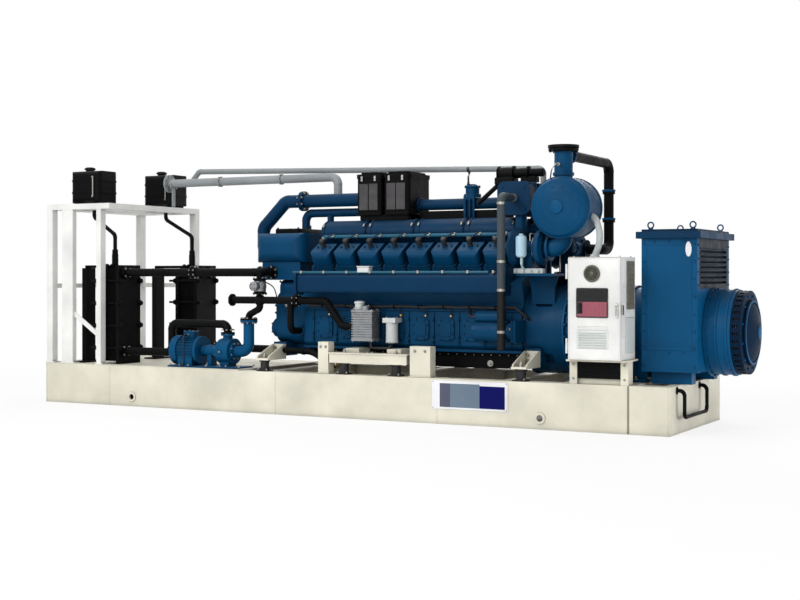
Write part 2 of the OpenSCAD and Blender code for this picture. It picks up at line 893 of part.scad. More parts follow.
// Bell housing with the turbocharger shelf, its legs and the rear mount pads
module flywheel_housing() {
    shelf_z = crank_z + 500;
    shelf_w = 1240;
    ear_w = 275;
    ear_y = bell_r + 95;
    color(blue) {
        translate([case_x1 + 0.3, 0, crank_z]) {
            difference() {
                union() {
                    rod_x(2 * bell_r, bell_l - 0.6);
                    rod_x(2 * bell_r + 16, 26);
                    translate([bell_l - 27, 0, 0])
                        rod_x(2 * bell_r + 16, 26);
                }
                for (a = [-50, 50, 130, 230])
                    rotate([a, 0, 0])
                        translate([bell_l / 2, 0, bell_r - 40])
                            linear_extrude(100)
                                round_rect(170, 130, 30);
            }
            for (s = [-1, 1])
                translate([60, s * 330 - 15, 240])
                    cube([230, 30, 262]);
            for (s = [-1, 1])
                translate([0, s * ear_y - ear_w / 2, -110])
                    cube([26, ear_w, 200]);
        }
        for (s = [-1, 1])
            mount_pad(mount_xs[1], bell_r * 0.65, s);
        translate([case_x1 + 20, -shelf_w / 2, shelf_z])
            cube([bell_l - 20, shelf_w, 24]);
        for (s = [-1, 1])
            translate([case_x1 + 170, s * 330, 0])
                rotate([90, 0, 0])
                    linear_extrude(24, center = true)
                        polygon([
                            [-100, crank_z + 300],
                            [100, crank_z + 300],
                            [150, shelf_z + 1],
                            [-140, shelf_z + 1],
                        ]);
    }
}

// One cast head for each cylinder, with its inlet and exhaust faces
module cylinder_heads() {
    gap = 14;
    color(blue)
        for (side = [-1, 1], i = [0:bank_cylinders - 1])
            bank(side)
                translate([bank_x + i * pitch, 0, head_z + 0.3]) {
                    linear_extrude(head_h - 0.6)
                        round_rect(pitch - gap, head_w, 24);
                    translate([0, 0, head_h * 0.25])
                        linear_extrude(head_h * 0.2)
                            round_rect(pitch - gap, head_w + 16, 24);
                    translate([0, side * head_w / 2, head_h / 2])
                        rotate([-side * 90, 0, 0])
                            cylinder(d = 100, h = 18);
                }
}

// Rounded rocker covers with a flange, a fillet and a filler boss each
module rocker_covers() {
    flange_h = 22;
    w = head_w - 40;
    l = pitch - 30;
    color(blue)
        for (side = [-1, 1], i = [0:bank_cylinders - 1])
            bank(side)
                translate([bank_x + i * pitch, 0, cover_z]) {
                    linear_extrude(flange_h)
                        round_rect(l, w + 24, 30);
                    intersection() {
                        translate([-l / 2, 0, cover_h / 2 - 30])
                            bar_x(l, w, cover_h + 60, 58);
                        translate([0, 0, 1])
                            linear_extrude(cover_h)
                                round_rect(l - 16, w, 46);
                    }
                    translate([0, 0, cover_h - 2])
                        cylinder(d = 52, h = 14);
                }
}

// Long inlet plenum beside each bank, with a runner to every head
module inlet_plenums() {
    w = 130;
    h = 190;
    y = 635;
    z = crank_z + 430;
    l = bank_cylinders * pitch + 60;
    color(blue)
        for (side = [-1, 1]) {
            translate([bank_x - pitch / 2 - 30, side * y, z])
                bar_x(l, w, h, 40);
            translate([bank_x - pitch / 2 - 54, side * y, z])
                bar_x(24, w + 40, h + 40, 50);
            translate([bank_x - pitch / 2 - 30 + l, side * y, z])
                bar_x(24, w + 40, h + 40, 50);
            for (i = [0:bank_cylinders - 1])
                bank(side)
                    translate([bank_x + i * pitch, side * (head_w / 2 + 18.3), head_z + head_h / 2])
                        rotate([-side * 90, 0, 0])
                            cylinder(d = 92, h = 135);
        }
}

// Two lagged exhaust logs over the valley: a sleeve and a clamp ring for each pair of cylinders
manifold_y = 175;
manifold_z = crank_z + 930;
manifold_r = 130;

// Runner from the inner face of a head up into the log, with its flange
module exhaust_runner(x, side) {
    d = 84;
    mid = head_z + head_h / 2;
    inner = head_w / 2 + 8.5;
    s = sin(bank_tilt);
    c = cos(bank_tilt);
    from = [x, side * (mid * s - inner * c), crank_z + mid * c + inner * s];
    out = [0, -side * c, s];
    pipe([from, from + out * 62, [x, from[1] - side * 62 * c, manifold_z - 60]], d, 50);
    rod(from, from + out * 14, d + 40);
}

module exhaust_manifolds() {
    x0 = bank_x - pitch / 2;
    l = bank_cylinders * pitch;
    color(blue)
        for (side = [-1, 1]) {
            translate([x0, side * manifold_y, manifold_z])
                rod_x(2 * manifold_r - 24, l);
            for (k = [0:floor(bank_cylinders / 2) - 1])
                translate([x0 + (2 * k) * pitch + 16, side * manifold_y, manifold_z])
                    rod_x(2 * manifold_r, 2 * pitch - 32);
            for (i = [0:bank_cylinders - 1])
                exhaust_runner(bank_x + i * pitch, side);
            pipe([
                [x0 + l - 60, side * manifold_y, manifold_z],
                [turbo_x + 125, side * manifold_y, manifold_z],
                [turbo_x + 125, side * manifold_y, turbo_z + 10],
                [turbo_x + 125, side * (turbo_y - turbine_in - 0.3), turbo_z + 10],
            ], 110, 65);
        }
}

// Two turbochargers on the shelf: compressor and turbine volutes either side of a bearing body
turbo_x = case_x1 + 100;
turbo_y = 480;
turbine_in = 200;
turbo_z = crank_z + 760;

module turbochargers() {
    shelf_top = crank_z + 524;
    color(blue)
        for (side = [-1, 1])
            translate([turbo_x, side * turbo_y, turbo_z]) {
                translate([-200, 0, 0])
                    rotate([0, 90, 0])
                        rotate_extrude($fn = 64)
                            polygon([
                                [0, 0], [95, 0], [105, 25], [165, 35],
                                [190, 75], [165, 120], [90, 130], [0, 130],
                            ]);
                translate([-70, 0, 0])
                    rod_x(130, 130);
                translate([60, 0, 0])
                    rotate([0, 90, 0])
                        rotate_extrude($fn = 64)
                            polygon([
                                [0, 0], [110, 0], [160, 30], [165, 75],
                                [120, 100], [84, 105], [84, 130], [0, 130],
                            ]);
                translate([-135, -side * 110, 0])
                    cylinder(d = 110, h = cooler_z - turbo_z - 0.3);
                translate([125, 0, 10])
                    rotate([side * 90, 0, 0])
                        cylinder(d = 130, h = turbine_in);
                translate([-60, -60, shelf_top - turbo_z + 0.3])
                    cube([110, 120, turbo_z - shelf_top - 40]);
                translate([-80, -90, shelf_top - turbo_z + 0.3])
                    cube([150, 180, 20]);
            }
}

// Charge cooler across the back of the engine: ribbed box between two end tanks
cooler_x = case_x1 - 230;
cooler_x1 = cooler_x + 330;
cooler_z = manifold_z + manifold_r + 8;
cooler_h = 312;
cooler_w = 960;

module charge_cooler() {
    ribs = 9;
    tank = 150;
    core = cooler_w - 2 * tank;
    color(blue) {
        for (s = [-1, 1])
            translate([(cooler_x + cooler_x1) / 2, s * (cooler_w / 2 - tank / 2), cooler_z + cooler_h / 2])
                rotate([90, 0, 0])
                    linear_extrude(tank, center = true)
                        round_rect(cooler_x1 - cooler_x, cooler_h, 70);
        translate([cooler_x + 30, -core / 2 - 1, cooler_z + 20])
            cube([cooler_x1 - cooler_x - 60, core + 2, cooler_h - 40]);
        for (i = [0:ribs - 1])
            translate([cooler_x + 12, -core / 2 + (i + 0.5) * core / ribs - 6, cooler_z + 8])
                cube([cooler_x1 - cooler_x - 24, 12, cooler_h - 16]);
        for (s = [-1, 1])
            translate([cooler_x1 - 70, s * 60 - 20, crank_z + 524.3])
                cube([60, 40, cooler_z - crank_z - 516.6]);
    }
}

// Exhaust on the panel side: elbow from the turbine, collector drum, riser to the outlet flange, and a tee
riser_x = case_x1 + 430;
riser_y = -turbo_y;
outlet_z = 2560;
outlet_bore = 140;
tee_z = outlet_z - 80;
tee_y = riser_y + exhaust_d / 2 + 70;
cross_d = exhaust_d - 70;
drum_z = turbo_z + 360;

module exhaust_riser() {
    flange_t = 24;
    drum_x = riser_x + 35;
    drum_y = riser_y - 240;
    edge = 70;
    r = 275;
    l = 450;
    color(blue) {
        difference() {
            union() {
                pipe([
                    [turbo_x + 190.3, riser_y, turbo_z],
                    [riser_x, riser_y, turbo_z],
                    [riser_x, riser_y, outlet_z - flange_t],
                ], exhaust_d, 110);
                translate([turbo_x + 190.3, riser_y, turbo_z])
                    rod_x(exhaust_d * 1.45, 20);
                translate([riser_x, riser_y, drum_z + r + 20])
                    cylinder(d = exhaust_d + 26, h = 26);
                translate([riser_x, riser_y, tee_z])
                    rotate([-90, 0, 0])
                        cylinder(d = cross_d + 6, h = tee_y - riser_y);
                translate([riser_x, tee_y - 18, tee_z])
                    rotate([-90, 0, 0])
                        cylinder(d = cross_d + 54, h = 18);
                translate([drum_x, drum_y, drum_z])
                    rotate([-90, 0, 0])
                        rotate_extrude($fn = 96)
                            polygon([
                                [0, -30], [r * 0.5, -22], [r - edge, 0], [r - edge / 3, edge / 3],
                                [r, edge], [r, l - edge], [r - edge / 3, l - edge / 3],
                                [r - edge, l], [0, l],
                            ]);
            }
            translate([riser_x, riser_y, outlet_z - 250])
                cylinder(d = outlet_bore, h = 251);
        }
        translate([riser_x, riser_y, outlet_z - flange_t])
            drilled_flange(285, outlet_bore, 240, 8, 18, flange_t);
    }
}

// Black crossover from the far turbine, up and over to the riser's tee
module exhaust_crossover() {
    y0 = tee_y + 0.3;
    far_y = 740;
    color(black) {
        pipe([
            [riser_x, y0, tee_z],
            [riser_x, far_y, tee_z],
            [riser_x, far_y, turbo_z],
            [riser_x, turbo_y, turbo_z],
            [turbo_x + 190.3, turbo_y, turbo_z],
        ], cross_d, 90);
        rod([riser_x, y0, tee_z], [riser_x, y0 + 18, tee_z], cross_d + 54);
        rod([turbo_x + 190.3, turbo_y, turbo_z], [turbo_x + 208.3, turbo_y, turbo_z], cross_d + 90);
        for (z = [turbo_z + 270, turbo_z + 550])
            translate([riser_x, far_y, z])
                cylinder(d = cross_d + 26, h = 24);
    }
}

// Blue intake pipes: the loop from the air filters down to the front of the engine, the smaller pipe
// under it with its two risers, and the duct from the filters to the charge cooler
loop_d = 135;
loop_y = -60;
loop_z = 2150;
gas_join_y = 45;

module intake_pipe() {
    front_z = crank_z + 730;
    sweep_x = thermo_x - 130;
    under_z = loop_z - 125;
    duct_z = crank_z + 1210;
    riser_d = 70;
    riser_z0 = valley_z + riser_d / 2 * valley_depth / valley_y + 0.4;
    color(blue) {
        pipe([
            [filter_x - 10, loop_y, loop_z],
            [thermo_x + 150, loop_y, loop_z],
            [sweep_x, loop_y, loop_z - 270],
            [sweep_x, loop_y, front_z],
            [thermo_x - 0.3, loop_y, front_z],
        ], loop_d, 105);
        rod([filter_x - 20, loop_y, loop_z], [filter_x - 0.3, loop_y, loop_z], loop_d + 24);
        rod([thermo_x - 16, loop_y, front_z], [thermo_x - 0.3, loop_y, front_z], loop_d + 40);
        flange_pair([case_x - 240, loop_y, loop_z], [1, 0, 0], loop_d * 0.9);
        rod([gas_x1, loop_y, loop_z], [gas_x1, gas_join_y, loop_z], gas_d + 24);
        pipe([
            [thermo_x + 360, 0, crank_z + 940.3],
            [thermo_x + 360, 0, under_z],
            [filter_x - 0.3, 0, under_z],
        ], 86, 80);
        rod([case_x + 50, 0, riser_z0], [case_x + 50, 0, under_z], riser_d);
        rod([filter_x + filter_l + 0.3, 0, duct_z], [cooler_x - 0.3, 0, duct_z], 110);
        rod([filter_x + filter_l + 0.3, 0, duct_z], [filter_x + filter_l + 18, 0, duct_z], 150);
        rod([cooler_x - 18, 0, duct_z], [cooler_x - 0.3, 0, duct_z], 150);
        rod([case_x1 - 720, 0, duct_z], [case_x1 - 720, 0, duct_z + 190], 84);
    }
}

// Two black filter housings side by side on a frame over the manifolds
filter_x = case_x + 490;
filter_l = 600;
filter_z = manifold_z + manifold_r + 20;
filter_h = 2410 - filter_z;
filter_w = 480;

module air_filter_box() {
    split = 20;
    unit_l = (filter_l - split) / 2;
    lid_h = 60;
    color(black) {
        for (k = [0, 1])
            translate([filter_x + k * (unit_l + split) + unit_l / 2, 0, 0]) {
                translate([0, 0, filter_z + 30])
                    linear_extrude(filter_h - lid_h - 30)
                        round_rect(unit_l, filter_w, 50);
                translate([0, 0, filter_z + filter_h - lid_h])
                    linear_extrude(lid_h - 20)
                        round_rect(unit_l + 16, filter_w + 16, 56);
                translate([0, 0, filter_z + filter_h - 21])
                    linear_extrude(21)
                        round_rect(unit_l - 60, filter_w - 60, 40);
            }
        for (y = [-manifold_y - 30, manifold_y - 30])
            translate([filter_x + 30, y, filter_z - 19.7])
                cube([filter_l - 60, 60, 50]);
    }
}

// Plate oil cooler with its end caps on the panel side
cooler_box = [230, 150, 300];
oil_cooler_x = bank_x + 2 * pitch - 115;

module oil_cooler() {
    y1 = -case_half_w - 60;
    z0 = crank_z - 130;
    plates = 11;
    color(grey) {
        for (i = [0:plates - 1])
            translate([oil_cooler_x, y1 - cooler_box[1], z0 + 20 + i * 24])
                cube([cooler_box[0], cooler_box[1], 14]);
        translate([oil_cooler_x + 12, y1 - cooler_box[1] + 12, z0 + 1])
            cube([cooler_box[0] - 24, cooler_box[1] - 12, cooler_box[2] - 2]);
        for (z = [z0, z0 + cooler_box[2] - 20])
            translate([oil_cooler_x + cooler_box[0] / 2, y1 - cooler_box[1] / 2, z])
                linear_extrude(20)
                    round_rect(cooler_box[0] + 24, cooler_box[1] + 24, 30);
        translate([oil_cooler_x + cooler_box[0] / 2, y1 - cooler_box[1] / 2, z0 + cooler_box[2] - 1])
            cylinder(d = 90, h = 40);
        for (z = [z0 + 60, z0 + 230])
            translate([oil_cooler_x + cooler_box[0] / 2, -case_half_w - 15.3, z])
                rotate([90, 0, 0])
                    cylinder(d = 80, h = 60);
    }
}

// Starter motors behind the flywheel flange, one on each side
module starter_motors() {
    y = case_half_w + 115;
    z = crank_z - 10;
    x1 = case_x1;
    body_l = 330;
    color(blue)
        for (s = [-1, 1]) {
            translate([x1 - 90, s * y, z])
                rod_x(150, 90);
            translate([x1 - 90 - body_l, s * y, z])
                rod_x(190, body_l);
            translate([x1 - 110 - body_l, s * y, z])
                rod_x(150, 30);
            translate([x1 - 60 - body_l, s * (y + 30), z + 135])
                rod_x(100, body_l - 60);
            translate([x1 - 60 - body_l * 0.6, s * (y + 15) - 20, z + 60])
                cube([body_l * 0.4, 40, 80]);
            translate([x1 - 18, s * (y + 10) - 100, z - 100])
                cube([18, 200, 200]);
        }
}

// Spin-on oil filter canisters under their head
module oil_filters() {
    x = bank_x + 3 * pitch;
    y = case_half_w + 90;
    z0 = crank_z - 140;
    h = 190;
    color(white)
        for (s = [-1, 1]) {
            translate([x, s * y, z0])
                cylinder(d = 118, h = h);
            translate([x, s * y, z0 - 8])
                cylinder(d = 96, h = 9);
            translate([x - 70, s > 0 ? case_half_w + 15.3 : -y - 65, z0 + h])
                cube([140, y + 65 - case_half_w - 15.3, 46]);
        }
}

// Cream brackets from the engine's pads to the rubber mounts on the rails, and the beam between them
mount_y = half_w - 78;
mount_pad_z = skid_h + 110;
mount_t = 20;
mount_w = 150;
mount_xs = [front_x + 60 + mount_w / 2, case_x1 + 115];
beam_x = case_x + 500;
beam_l = 850;

module bracket(x, w, side) {
    reach = mount_y + 60 - case_half_w;
    rise = 150;
    y_in = case_half_w + 15.3;
    translate([x - w / 2, side > 0 ? y_in : -mount_y - 60, mount_pad_z])
        cube([w, mount_y + 60 - y_in, mount_t]);
    translate([x - w / 2, side > 0 ? y_in : -y_in - mount_t, mount_pad_z])
        cube([w, mount_t, rise]);
    for (k = [-1, 1])
        translate([x + k * (w / 2 - 8), side * (y_in + mount_t - 1), mount_pad_z + mount_t - 1])
            rotate([90, 0, 90])
                linear_extrude(16, center = true)
                    polygon([
                        [0, 0],
                        [side * (reach - 60), 0],
                        [side * (reach - 60), 20],
                        [side * 20, rise - mount_t],
                        [0, rise - mount_t],
                    ]);
}

module engine_mounts() {
    beam_w = 110;
    y_in = case_half_w + 15.3;
    arm_l = mount_y - beam_w / 2 - 0.3 - y_in;
    color(cream)
        for (s = [-1, 1]) {
            for (x = mount_xs)
                bracket(x, mount_w, s);
            translate([beam_x, s * mount_y - beam_w / 2, mount_pad_z])
                cube([beam_l, beam_w, 90]);
            translate([beam_x - 10, s * mount_y - beam_w / 2 - 10, mount_pad_z + 88])
                cube([beam_l + 20, beam_w + 20, 12]);
            for (x = [beam_x + 120, beam_x + beam_l - 270])
                translate([x, s > 0 ? y_in : -y_in - arm_l, mount_pad_z + 20])
                    cube([150, arm_l, 120]);
            translate([beam_x - 125, s * mount_y - beam_w / 2, skid_h + 0.3])
                cube([114.7, beam_w, 310]);
            translate([beam_x + beam_l + 35, s * mount_y - beam_w / 2, skid_h + 0.3])
                cube([215, beam_w, 290]);
        }
}

// Round rubber mounts with steel cups between the brackets and the rails
module mount_rubbers() {
    h = mount_pad_z - skid_h - 0.6;
    color(black)
        for (s = [-1, 1], x = concat(mount_xs, [beam_x + 140, beam_x + beam_l - 140]))
            translate([x, s * mount_y, skid_h + 0.3]) {
                linear_extrude(12)
                    round_rect(130, 120, 14);
                translate([0, 0, 11])
                    cylinder(d = 86, h = h - 11);
                translate([0, 0, h - 14])
                    cylinder(d = 110, h = 14);
            }
}

// Grey gas pipe and vent line over the engine, and the breather pipe down its side
gas_y = 200;
gas_z = 2410;
gas_x0 = frame_x1 + 20;
gas_x1 = case_x + 20;
breather = [cooler_x + 170, -half_w + 28, crank_z + 1225];

module overhead_pipes() {
    vent_d = 60;
    vent_y = tank_far[1] - 20;
    vent_x0 = tank_far[0] + tank_l / 2;
    color(grey) {
        difference() {
            pipe([
                [gas_x0 + 20, gas_y, gas_z],
                [gas_x1, gas_y, gas_z],
                [gas_x1, gas_y, loop_z],
                [gas_x1, gas_join_y + 0.3, loop_z],
            ], gas_d, 80);
            translate([gas_x0 - 1, gas_y, gas_z])
                rod_x(gas_d - 12, 260);
        }
        translate([gas_x0 + 20, gas_y, gas_z])
            rotate([0, -90, 0])
                drilled_flange(200, gas_d - 12, 160, 8, 18, 20);
        for (x = [gas_x0 + 700, gas_x0 + 1500])
            translate([x, gas_y, gas_z])
                rod_x(gas_d + 24, 20);
        translate([gas_x0 + 60, gas_y - 25, frame_top])
            cube([12, 50, gas_z - frame_top - gas_d / 2 + 4]);
        pipe([
            [vent_x0 + 0.3, vent_y, tank_z + tank_h - 100],
            [vent_x0 + 170, vent_y, tank_z + tank_h - 100],
            [vent_x0 + 290, vent_y, gas_z + 140],
            [cooler_x + 100, vent_y, gas_z + 22],
            [cooler_x + 100, vent_y, cooler_z + cooler_h + 0.3],
        ], vent_d, 60);
        translate([cooler_x + 100, vent_y, cooler_z + cooler_h + 0.3])
            cylinder(d = vent_d + 40, h = 16);
        pipe([
            [breather[0], -cooler_w / 2 - 0.3, breather[2]],
            [breather[0], breather[1], breather[2]],
            [breather[0], breather[1], crank_z - 170],
        ], 76, 60);
    }
}

// Stator frame on its feet, with cooling ribs and the flange to the bell housing
module alternator_frame() {
    rib_n = 5;
    foot_w = 130;
    color(blue) {
        translate([stator_x, 0, crank_z]) {
            rod_x(2 * stator_r - 40, stator_l - 60.3);
            rod_x(2 * stator_r + 20, 26);
            for (i = [0:rib_n - 1])
                translate([60 + i * (stator_l - 180) / (rib_n - 1), 0, 0])
                    rod_x(2 * stator_r, 40);
        }
        for (s = [-1, 1]) {
            translate([stator_x + 60, s * 330 - foot_w / 2, skid_h + 0.3])
                cube([stator_l - 130, foot_w, 26]);
            for (x = [stator_x + 100, stator_x + stator_l / 2 - 40, stator_x1 - 180])
                translate([x, s * 330 - 14, skid_h + 1])
                    cube([24, 28, 330]);
            translate([stator_x + 60, s * 330 - 12, skid_h + 1])
                cube([stator_l - 130, 24, 320]);
        }
    }
}

// Square air housing behind the stator, with louvres in its end face
module alternator_housing() {
    louvres = 7;
    t = 14;
    body_h = housing_top - housing_z;
    color(blue)
        difference() {
            union() {
                translate([housing_x, -housing_w / 2, housing_z])
                    cube([housing_l, housing_w, body_h]);
                translate([housing_x, -housing_w / 2 - 6, housing_z + 230])
                    cube([housing_l, housing_w + 12, 22]);
                for (s = [-1, 1])
                    translate([housing_x + 60, s * 360 - 60, skid_h + 0.3])
                        cube([housing_l - 140, 120, housing_gap]);
            }
            for (i = [0:louvres - 1])
                translate([housing_x1 - 26, -housing_w / 2 + 90, housing_top - 110 - i * 46])
                    rotate([0, 28, 0])
                        cube([60, housing_w - 180, 22]);
        }
}

// Overhanging lid of the air housing
module alternator_lid() {
    over = 40;
    color(blue)
        translate([housing_x - over, -housing_w / 2 - over, housing_top + 0.3]) {
            cube([housing_l + 2 * over, housing_w + 2 * over, 60]);
            translate([over, over, 59])
                cube([housing_l, housing_w, 22]);
        }
}

// Round end drum over the exciter, with stiffening rings and a bolt flange
module alternator_drum() {
    color(blue)
        translate([housing_x1 + 0.3, 0, crank_z]) {
            rod_x(2 * drum_r + 36, 24);
            rod_x(2 * drum_r, drum_l - 60);
            for (k = [0.35, 0.65])
                translate([drum_l * k, 0, 0])
                    rod_x(2 * drum_r + 20, 16);
        }
}

// Black ring of vent slots round the end of the drum
module alternator_vent_ring() {
    slots = 36;
    color(black)
        translate([housing_x1 + drum_l - 59.4, 0, crank_z])
            difference() {
                rod_x(2 * drum_r - 16, 90);
                for (i = [0:slots - 1])
                    rotate([i * 360 / slots, 0, 0])
                        translate([18, -12, drum_r - 38])
                            cube([54, 24, 60]);
            }
}

// Pale domed bearing cap in the middle of the drum's end
module alternator_cap() {
    r = drum_r - 90;
    color(pale)
        translate([housing_x1 + drum_l + 30.9, 0, crank_z])
            rotate([0, 90, 0])
                rotate_extrude($fn = 72) {
                    square([r, 20]);
                    intersection() {
                        translate([0, 20 - 560])
                            circle(r = 620, $fn = 120);
                        translate([0, 1])
                            square([r - 12, 200]);
                    }
                }
}

// Control panel: hollow enclosure open to the front, its door, hinge pins and stand
panel_x = housing_x - 60 - panel_w;
panel_y1 = -stator_r - 110;
panel_y0 = panel_y1 - panel_d;
panel_z = skid_h + stand_h;
door_gap = 5;
hinge_d = 14;
hinge_x = panel_x - 10;
hinge_y = panel_y0 + door_t / 2;
hinge_zs = [panel_z + 120, panel_z + panel_h - 120];
hinge_h = 70;
shell_y0 = panel_y0 + door_t + door_gap;

module panel_enclosure() {
    color(white) {
        difference() {
            translate([panel_x, shell_y0, panel_z + 0.3])
                cube([panel_w, panel_y1 - shell_y0, panel_h]);
            translate([panel_x + panel_t, shell_y0 - 1, panel_z + panel_t])
                cube([panel_w - 2 * panel_t, panel_y1 - shell_y0 + 1 - panel_t, panel_h - 2 * panel_t]);
        }
        for (z = hinge_zs) {
            for (k = [-1, 1])
                translate([hinge_x, hinge_y, z + k * (hinge_h / 2 + 15.3)])
                    hinge_knuckle();
            translate([hinge_x, hinge_y, z])
                cylinder(d = hinge_d, h = hinge_h + 62, center = true);
        }
        translate([panel_x + 60, panel_y1 - panel_t - 30, panel_z + 80])
            cube([panel_w - 120, 18, panel_h - 160]);
        for (x = [panel_x + 80, panel_x + panel_w - 110], z = [panel_z + 100, panel_z + panel_h - 130])
            translate([x, panel_y1 - panel_t - 13, z])
                cube([30, 14, 30]);
    }
}

// Fixed half of a hinge: knuckle and the leaf on the enclosure's side
module hinge_knuckle() {
    leaf = panel_x - hinge_x;
    cylinder(d = hinge_d + 10, h = 30, center = true);
    translate([0, 0, -15])
        cube([leaf, shell_y0 - hinge_y + 40, 30]);
}

// Door with return flanges, display frame, ventilation louvres and its turning knuckles
module panel_door() {
    w = panel_w - 6;
    skin = 8;
    x0 = panel_x + 6;
    louvres = 6;
    color(white)
        difference() {
            union() {
                difference() {
                    translate([x0, panel_y0, panel_z + 3])
                        cube([w, door_t, panel_h - 6]);
                    translate([x0 + 14, panel_y0 + skin, panel_z + 17])
                        cube([w - 28, door_t, panel_h - 34]);
                }
                for (z = hinge_zs) {
                    translate([hinge_x, hinge_y, z])
                        cylinder(d = hinge_d + 10, h = hinge_h, center = true);
                    translate([hinge_x, hinge_y - 5, z - hinge_h / 2])
                        cube([30, 10, hinge_h]);
                }
                translate([x0 + w - 40, panel_y0 - 14, panel_z + panel_h * 0.42])
                    cube([22, 15, 120]);
            }
            for (i = [0:louvres - 1])
                translate([x0 + 90, panel_y0 - 1, panel_z + 130 + i * 30])
                    cube([w - 200, 4, 14]);
            for (z = hinge_zs)
                translate([hinge_x, hinge_y, z])
                    cylinder(d = hinge_d + 0.1, h = hinge_h + 2, center = true);
        }
}

// Folded stand: two side legs, a kick plate between them and the shelf that carries the panel
module panel_stand() {
    leg_w = 70;
    over = 30;
    foot_y = -half_w + 6;
    x0 = panel_x - over;
    w = panel_w + 2 * over;
    leg_h = stand_h - 16;
    color(cream) {
        for (x = [x0, x0 + w - leg_w])
            translate([x, foot_y, skid_h + 0.3])
                difference() {
                    cube([leg_w, rail_flange - 30, leg_h]);
                    translate([8, 8, 12])
                        cube([leg_w - 16, rail_flange, leg_h - 24]);
                }
        translate([x0, panel_y0 + 40, panel_z - 16])
            cube([w, panel_y1 - panel_y0 - 40, 16]);
        translate([x0 + leg_w - 1, foot_y + 30, skid_h + 0.3])
            cube([w - 2 * leg_w + 2, 12, leg_h]);
    }
}

base_rails();
base_cross_members();
base_end_members();
deck_plate();
drag_loop();
frame_posts();
frame_rails();
header_tanks();
tank_downpipes();
phe_frames();
phe_plate_packs();
pump_casing();
pump_motor();
coolant_pipes_near();
coolant_pipes_far();
crankcase();
oil_sump();
front_cover();
thermostat_housing();
crank_damper();
flywheel_housing();
cylinder_heads();
rocker_covers();
inlet_plenums();
exhaust_manifolds();
turbochargers();
charge_cooler();
exhaust_riser();
exhaust_crossover();
intake_pipe();
air_filter_box();
oil_cooler();
starter_motors();
oil_filters();
engine_mounts();
mount_rubbers();
overhead_pipes();
alternator_frame();
alternator_housing();
alternator_lid();
alternator_drum();
alternator_vent_ring();
alternator_cap();
panel_enclosure();
panel_door();
panel_stand();
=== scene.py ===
"""Looks of the gas generator set: finishes, fasteners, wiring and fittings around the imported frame.

Every place comes from the frame: box(node) gives a CAD node's corners. +X runs along the crankshaft
to the alternator, -Y is the control panel side and +Z is up. The camera, the stage and the materials
work in metres; shapes are drawn in millimetres, like the part's source, and Shape.build scales them.
"""

import json
import random
from functools import cache
from itertools import product
from math import cos, pi, radians, sin, sqrt

import bmesh
import bpy
from mathutils import Matrix, Vector


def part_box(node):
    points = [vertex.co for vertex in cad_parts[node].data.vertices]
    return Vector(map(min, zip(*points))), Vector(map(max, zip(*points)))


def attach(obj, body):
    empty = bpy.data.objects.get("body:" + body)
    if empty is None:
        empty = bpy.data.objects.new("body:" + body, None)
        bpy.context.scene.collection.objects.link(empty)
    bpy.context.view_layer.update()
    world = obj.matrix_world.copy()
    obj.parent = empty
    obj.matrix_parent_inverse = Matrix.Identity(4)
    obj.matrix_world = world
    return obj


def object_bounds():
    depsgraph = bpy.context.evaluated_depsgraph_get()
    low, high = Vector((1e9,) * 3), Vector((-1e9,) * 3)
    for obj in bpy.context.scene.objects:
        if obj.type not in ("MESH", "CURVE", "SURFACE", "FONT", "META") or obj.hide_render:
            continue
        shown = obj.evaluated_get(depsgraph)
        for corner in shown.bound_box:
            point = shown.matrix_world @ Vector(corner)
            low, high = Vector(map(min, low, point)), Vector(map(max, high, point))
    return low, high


MM = 0.001

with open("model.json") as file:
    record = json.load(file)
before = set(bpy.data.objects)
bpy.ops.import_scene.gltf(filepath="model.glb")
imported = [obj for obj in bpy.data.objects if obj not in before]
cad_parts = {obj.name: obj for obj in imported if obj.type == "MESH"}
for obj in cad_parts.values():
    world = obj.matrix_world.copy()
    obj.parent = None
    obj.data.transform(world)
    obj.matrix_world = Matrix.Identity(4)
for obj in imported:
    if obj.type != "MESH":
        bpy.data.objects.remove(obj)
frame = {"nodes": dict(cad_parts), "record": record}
cad_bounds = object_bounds()

# ---------------------------------------------------------------- camera

CAMERA_PLACE = (6.956, -12.107, 1.371)
CAMERA_TURN = radians(28.2)
LENS_MM = 61.3
SENSOR_MM = 36.0
SHIFT_Y = -0.03


def add_object(name, data, place=(0, 0, 0), turn=(0, 0, 0)):
    made = bpy.data.objects.new(name, data)
    made.location = place
    made.rotation_euler = turn
    bpy.context.scene.collection.objects.link(made)
    return made


def add_camera():
    """Level camera that looks along the skid from the panel side."""
    data = bpy.data.cameras.new("camera")
    data.lens = LENS_MM
    data.sensor_width = SENSOR_MM
    data.shift_y = SHIFT_Y
    data.clip_end = 200  # beyond the floor's corners
    bpy.context.scene.camera = add_object("camera", data, CAMERA_PLACE, (pi / 2, 0, CAMERA_TURN))


# ---------------------------------------------------------------- materials


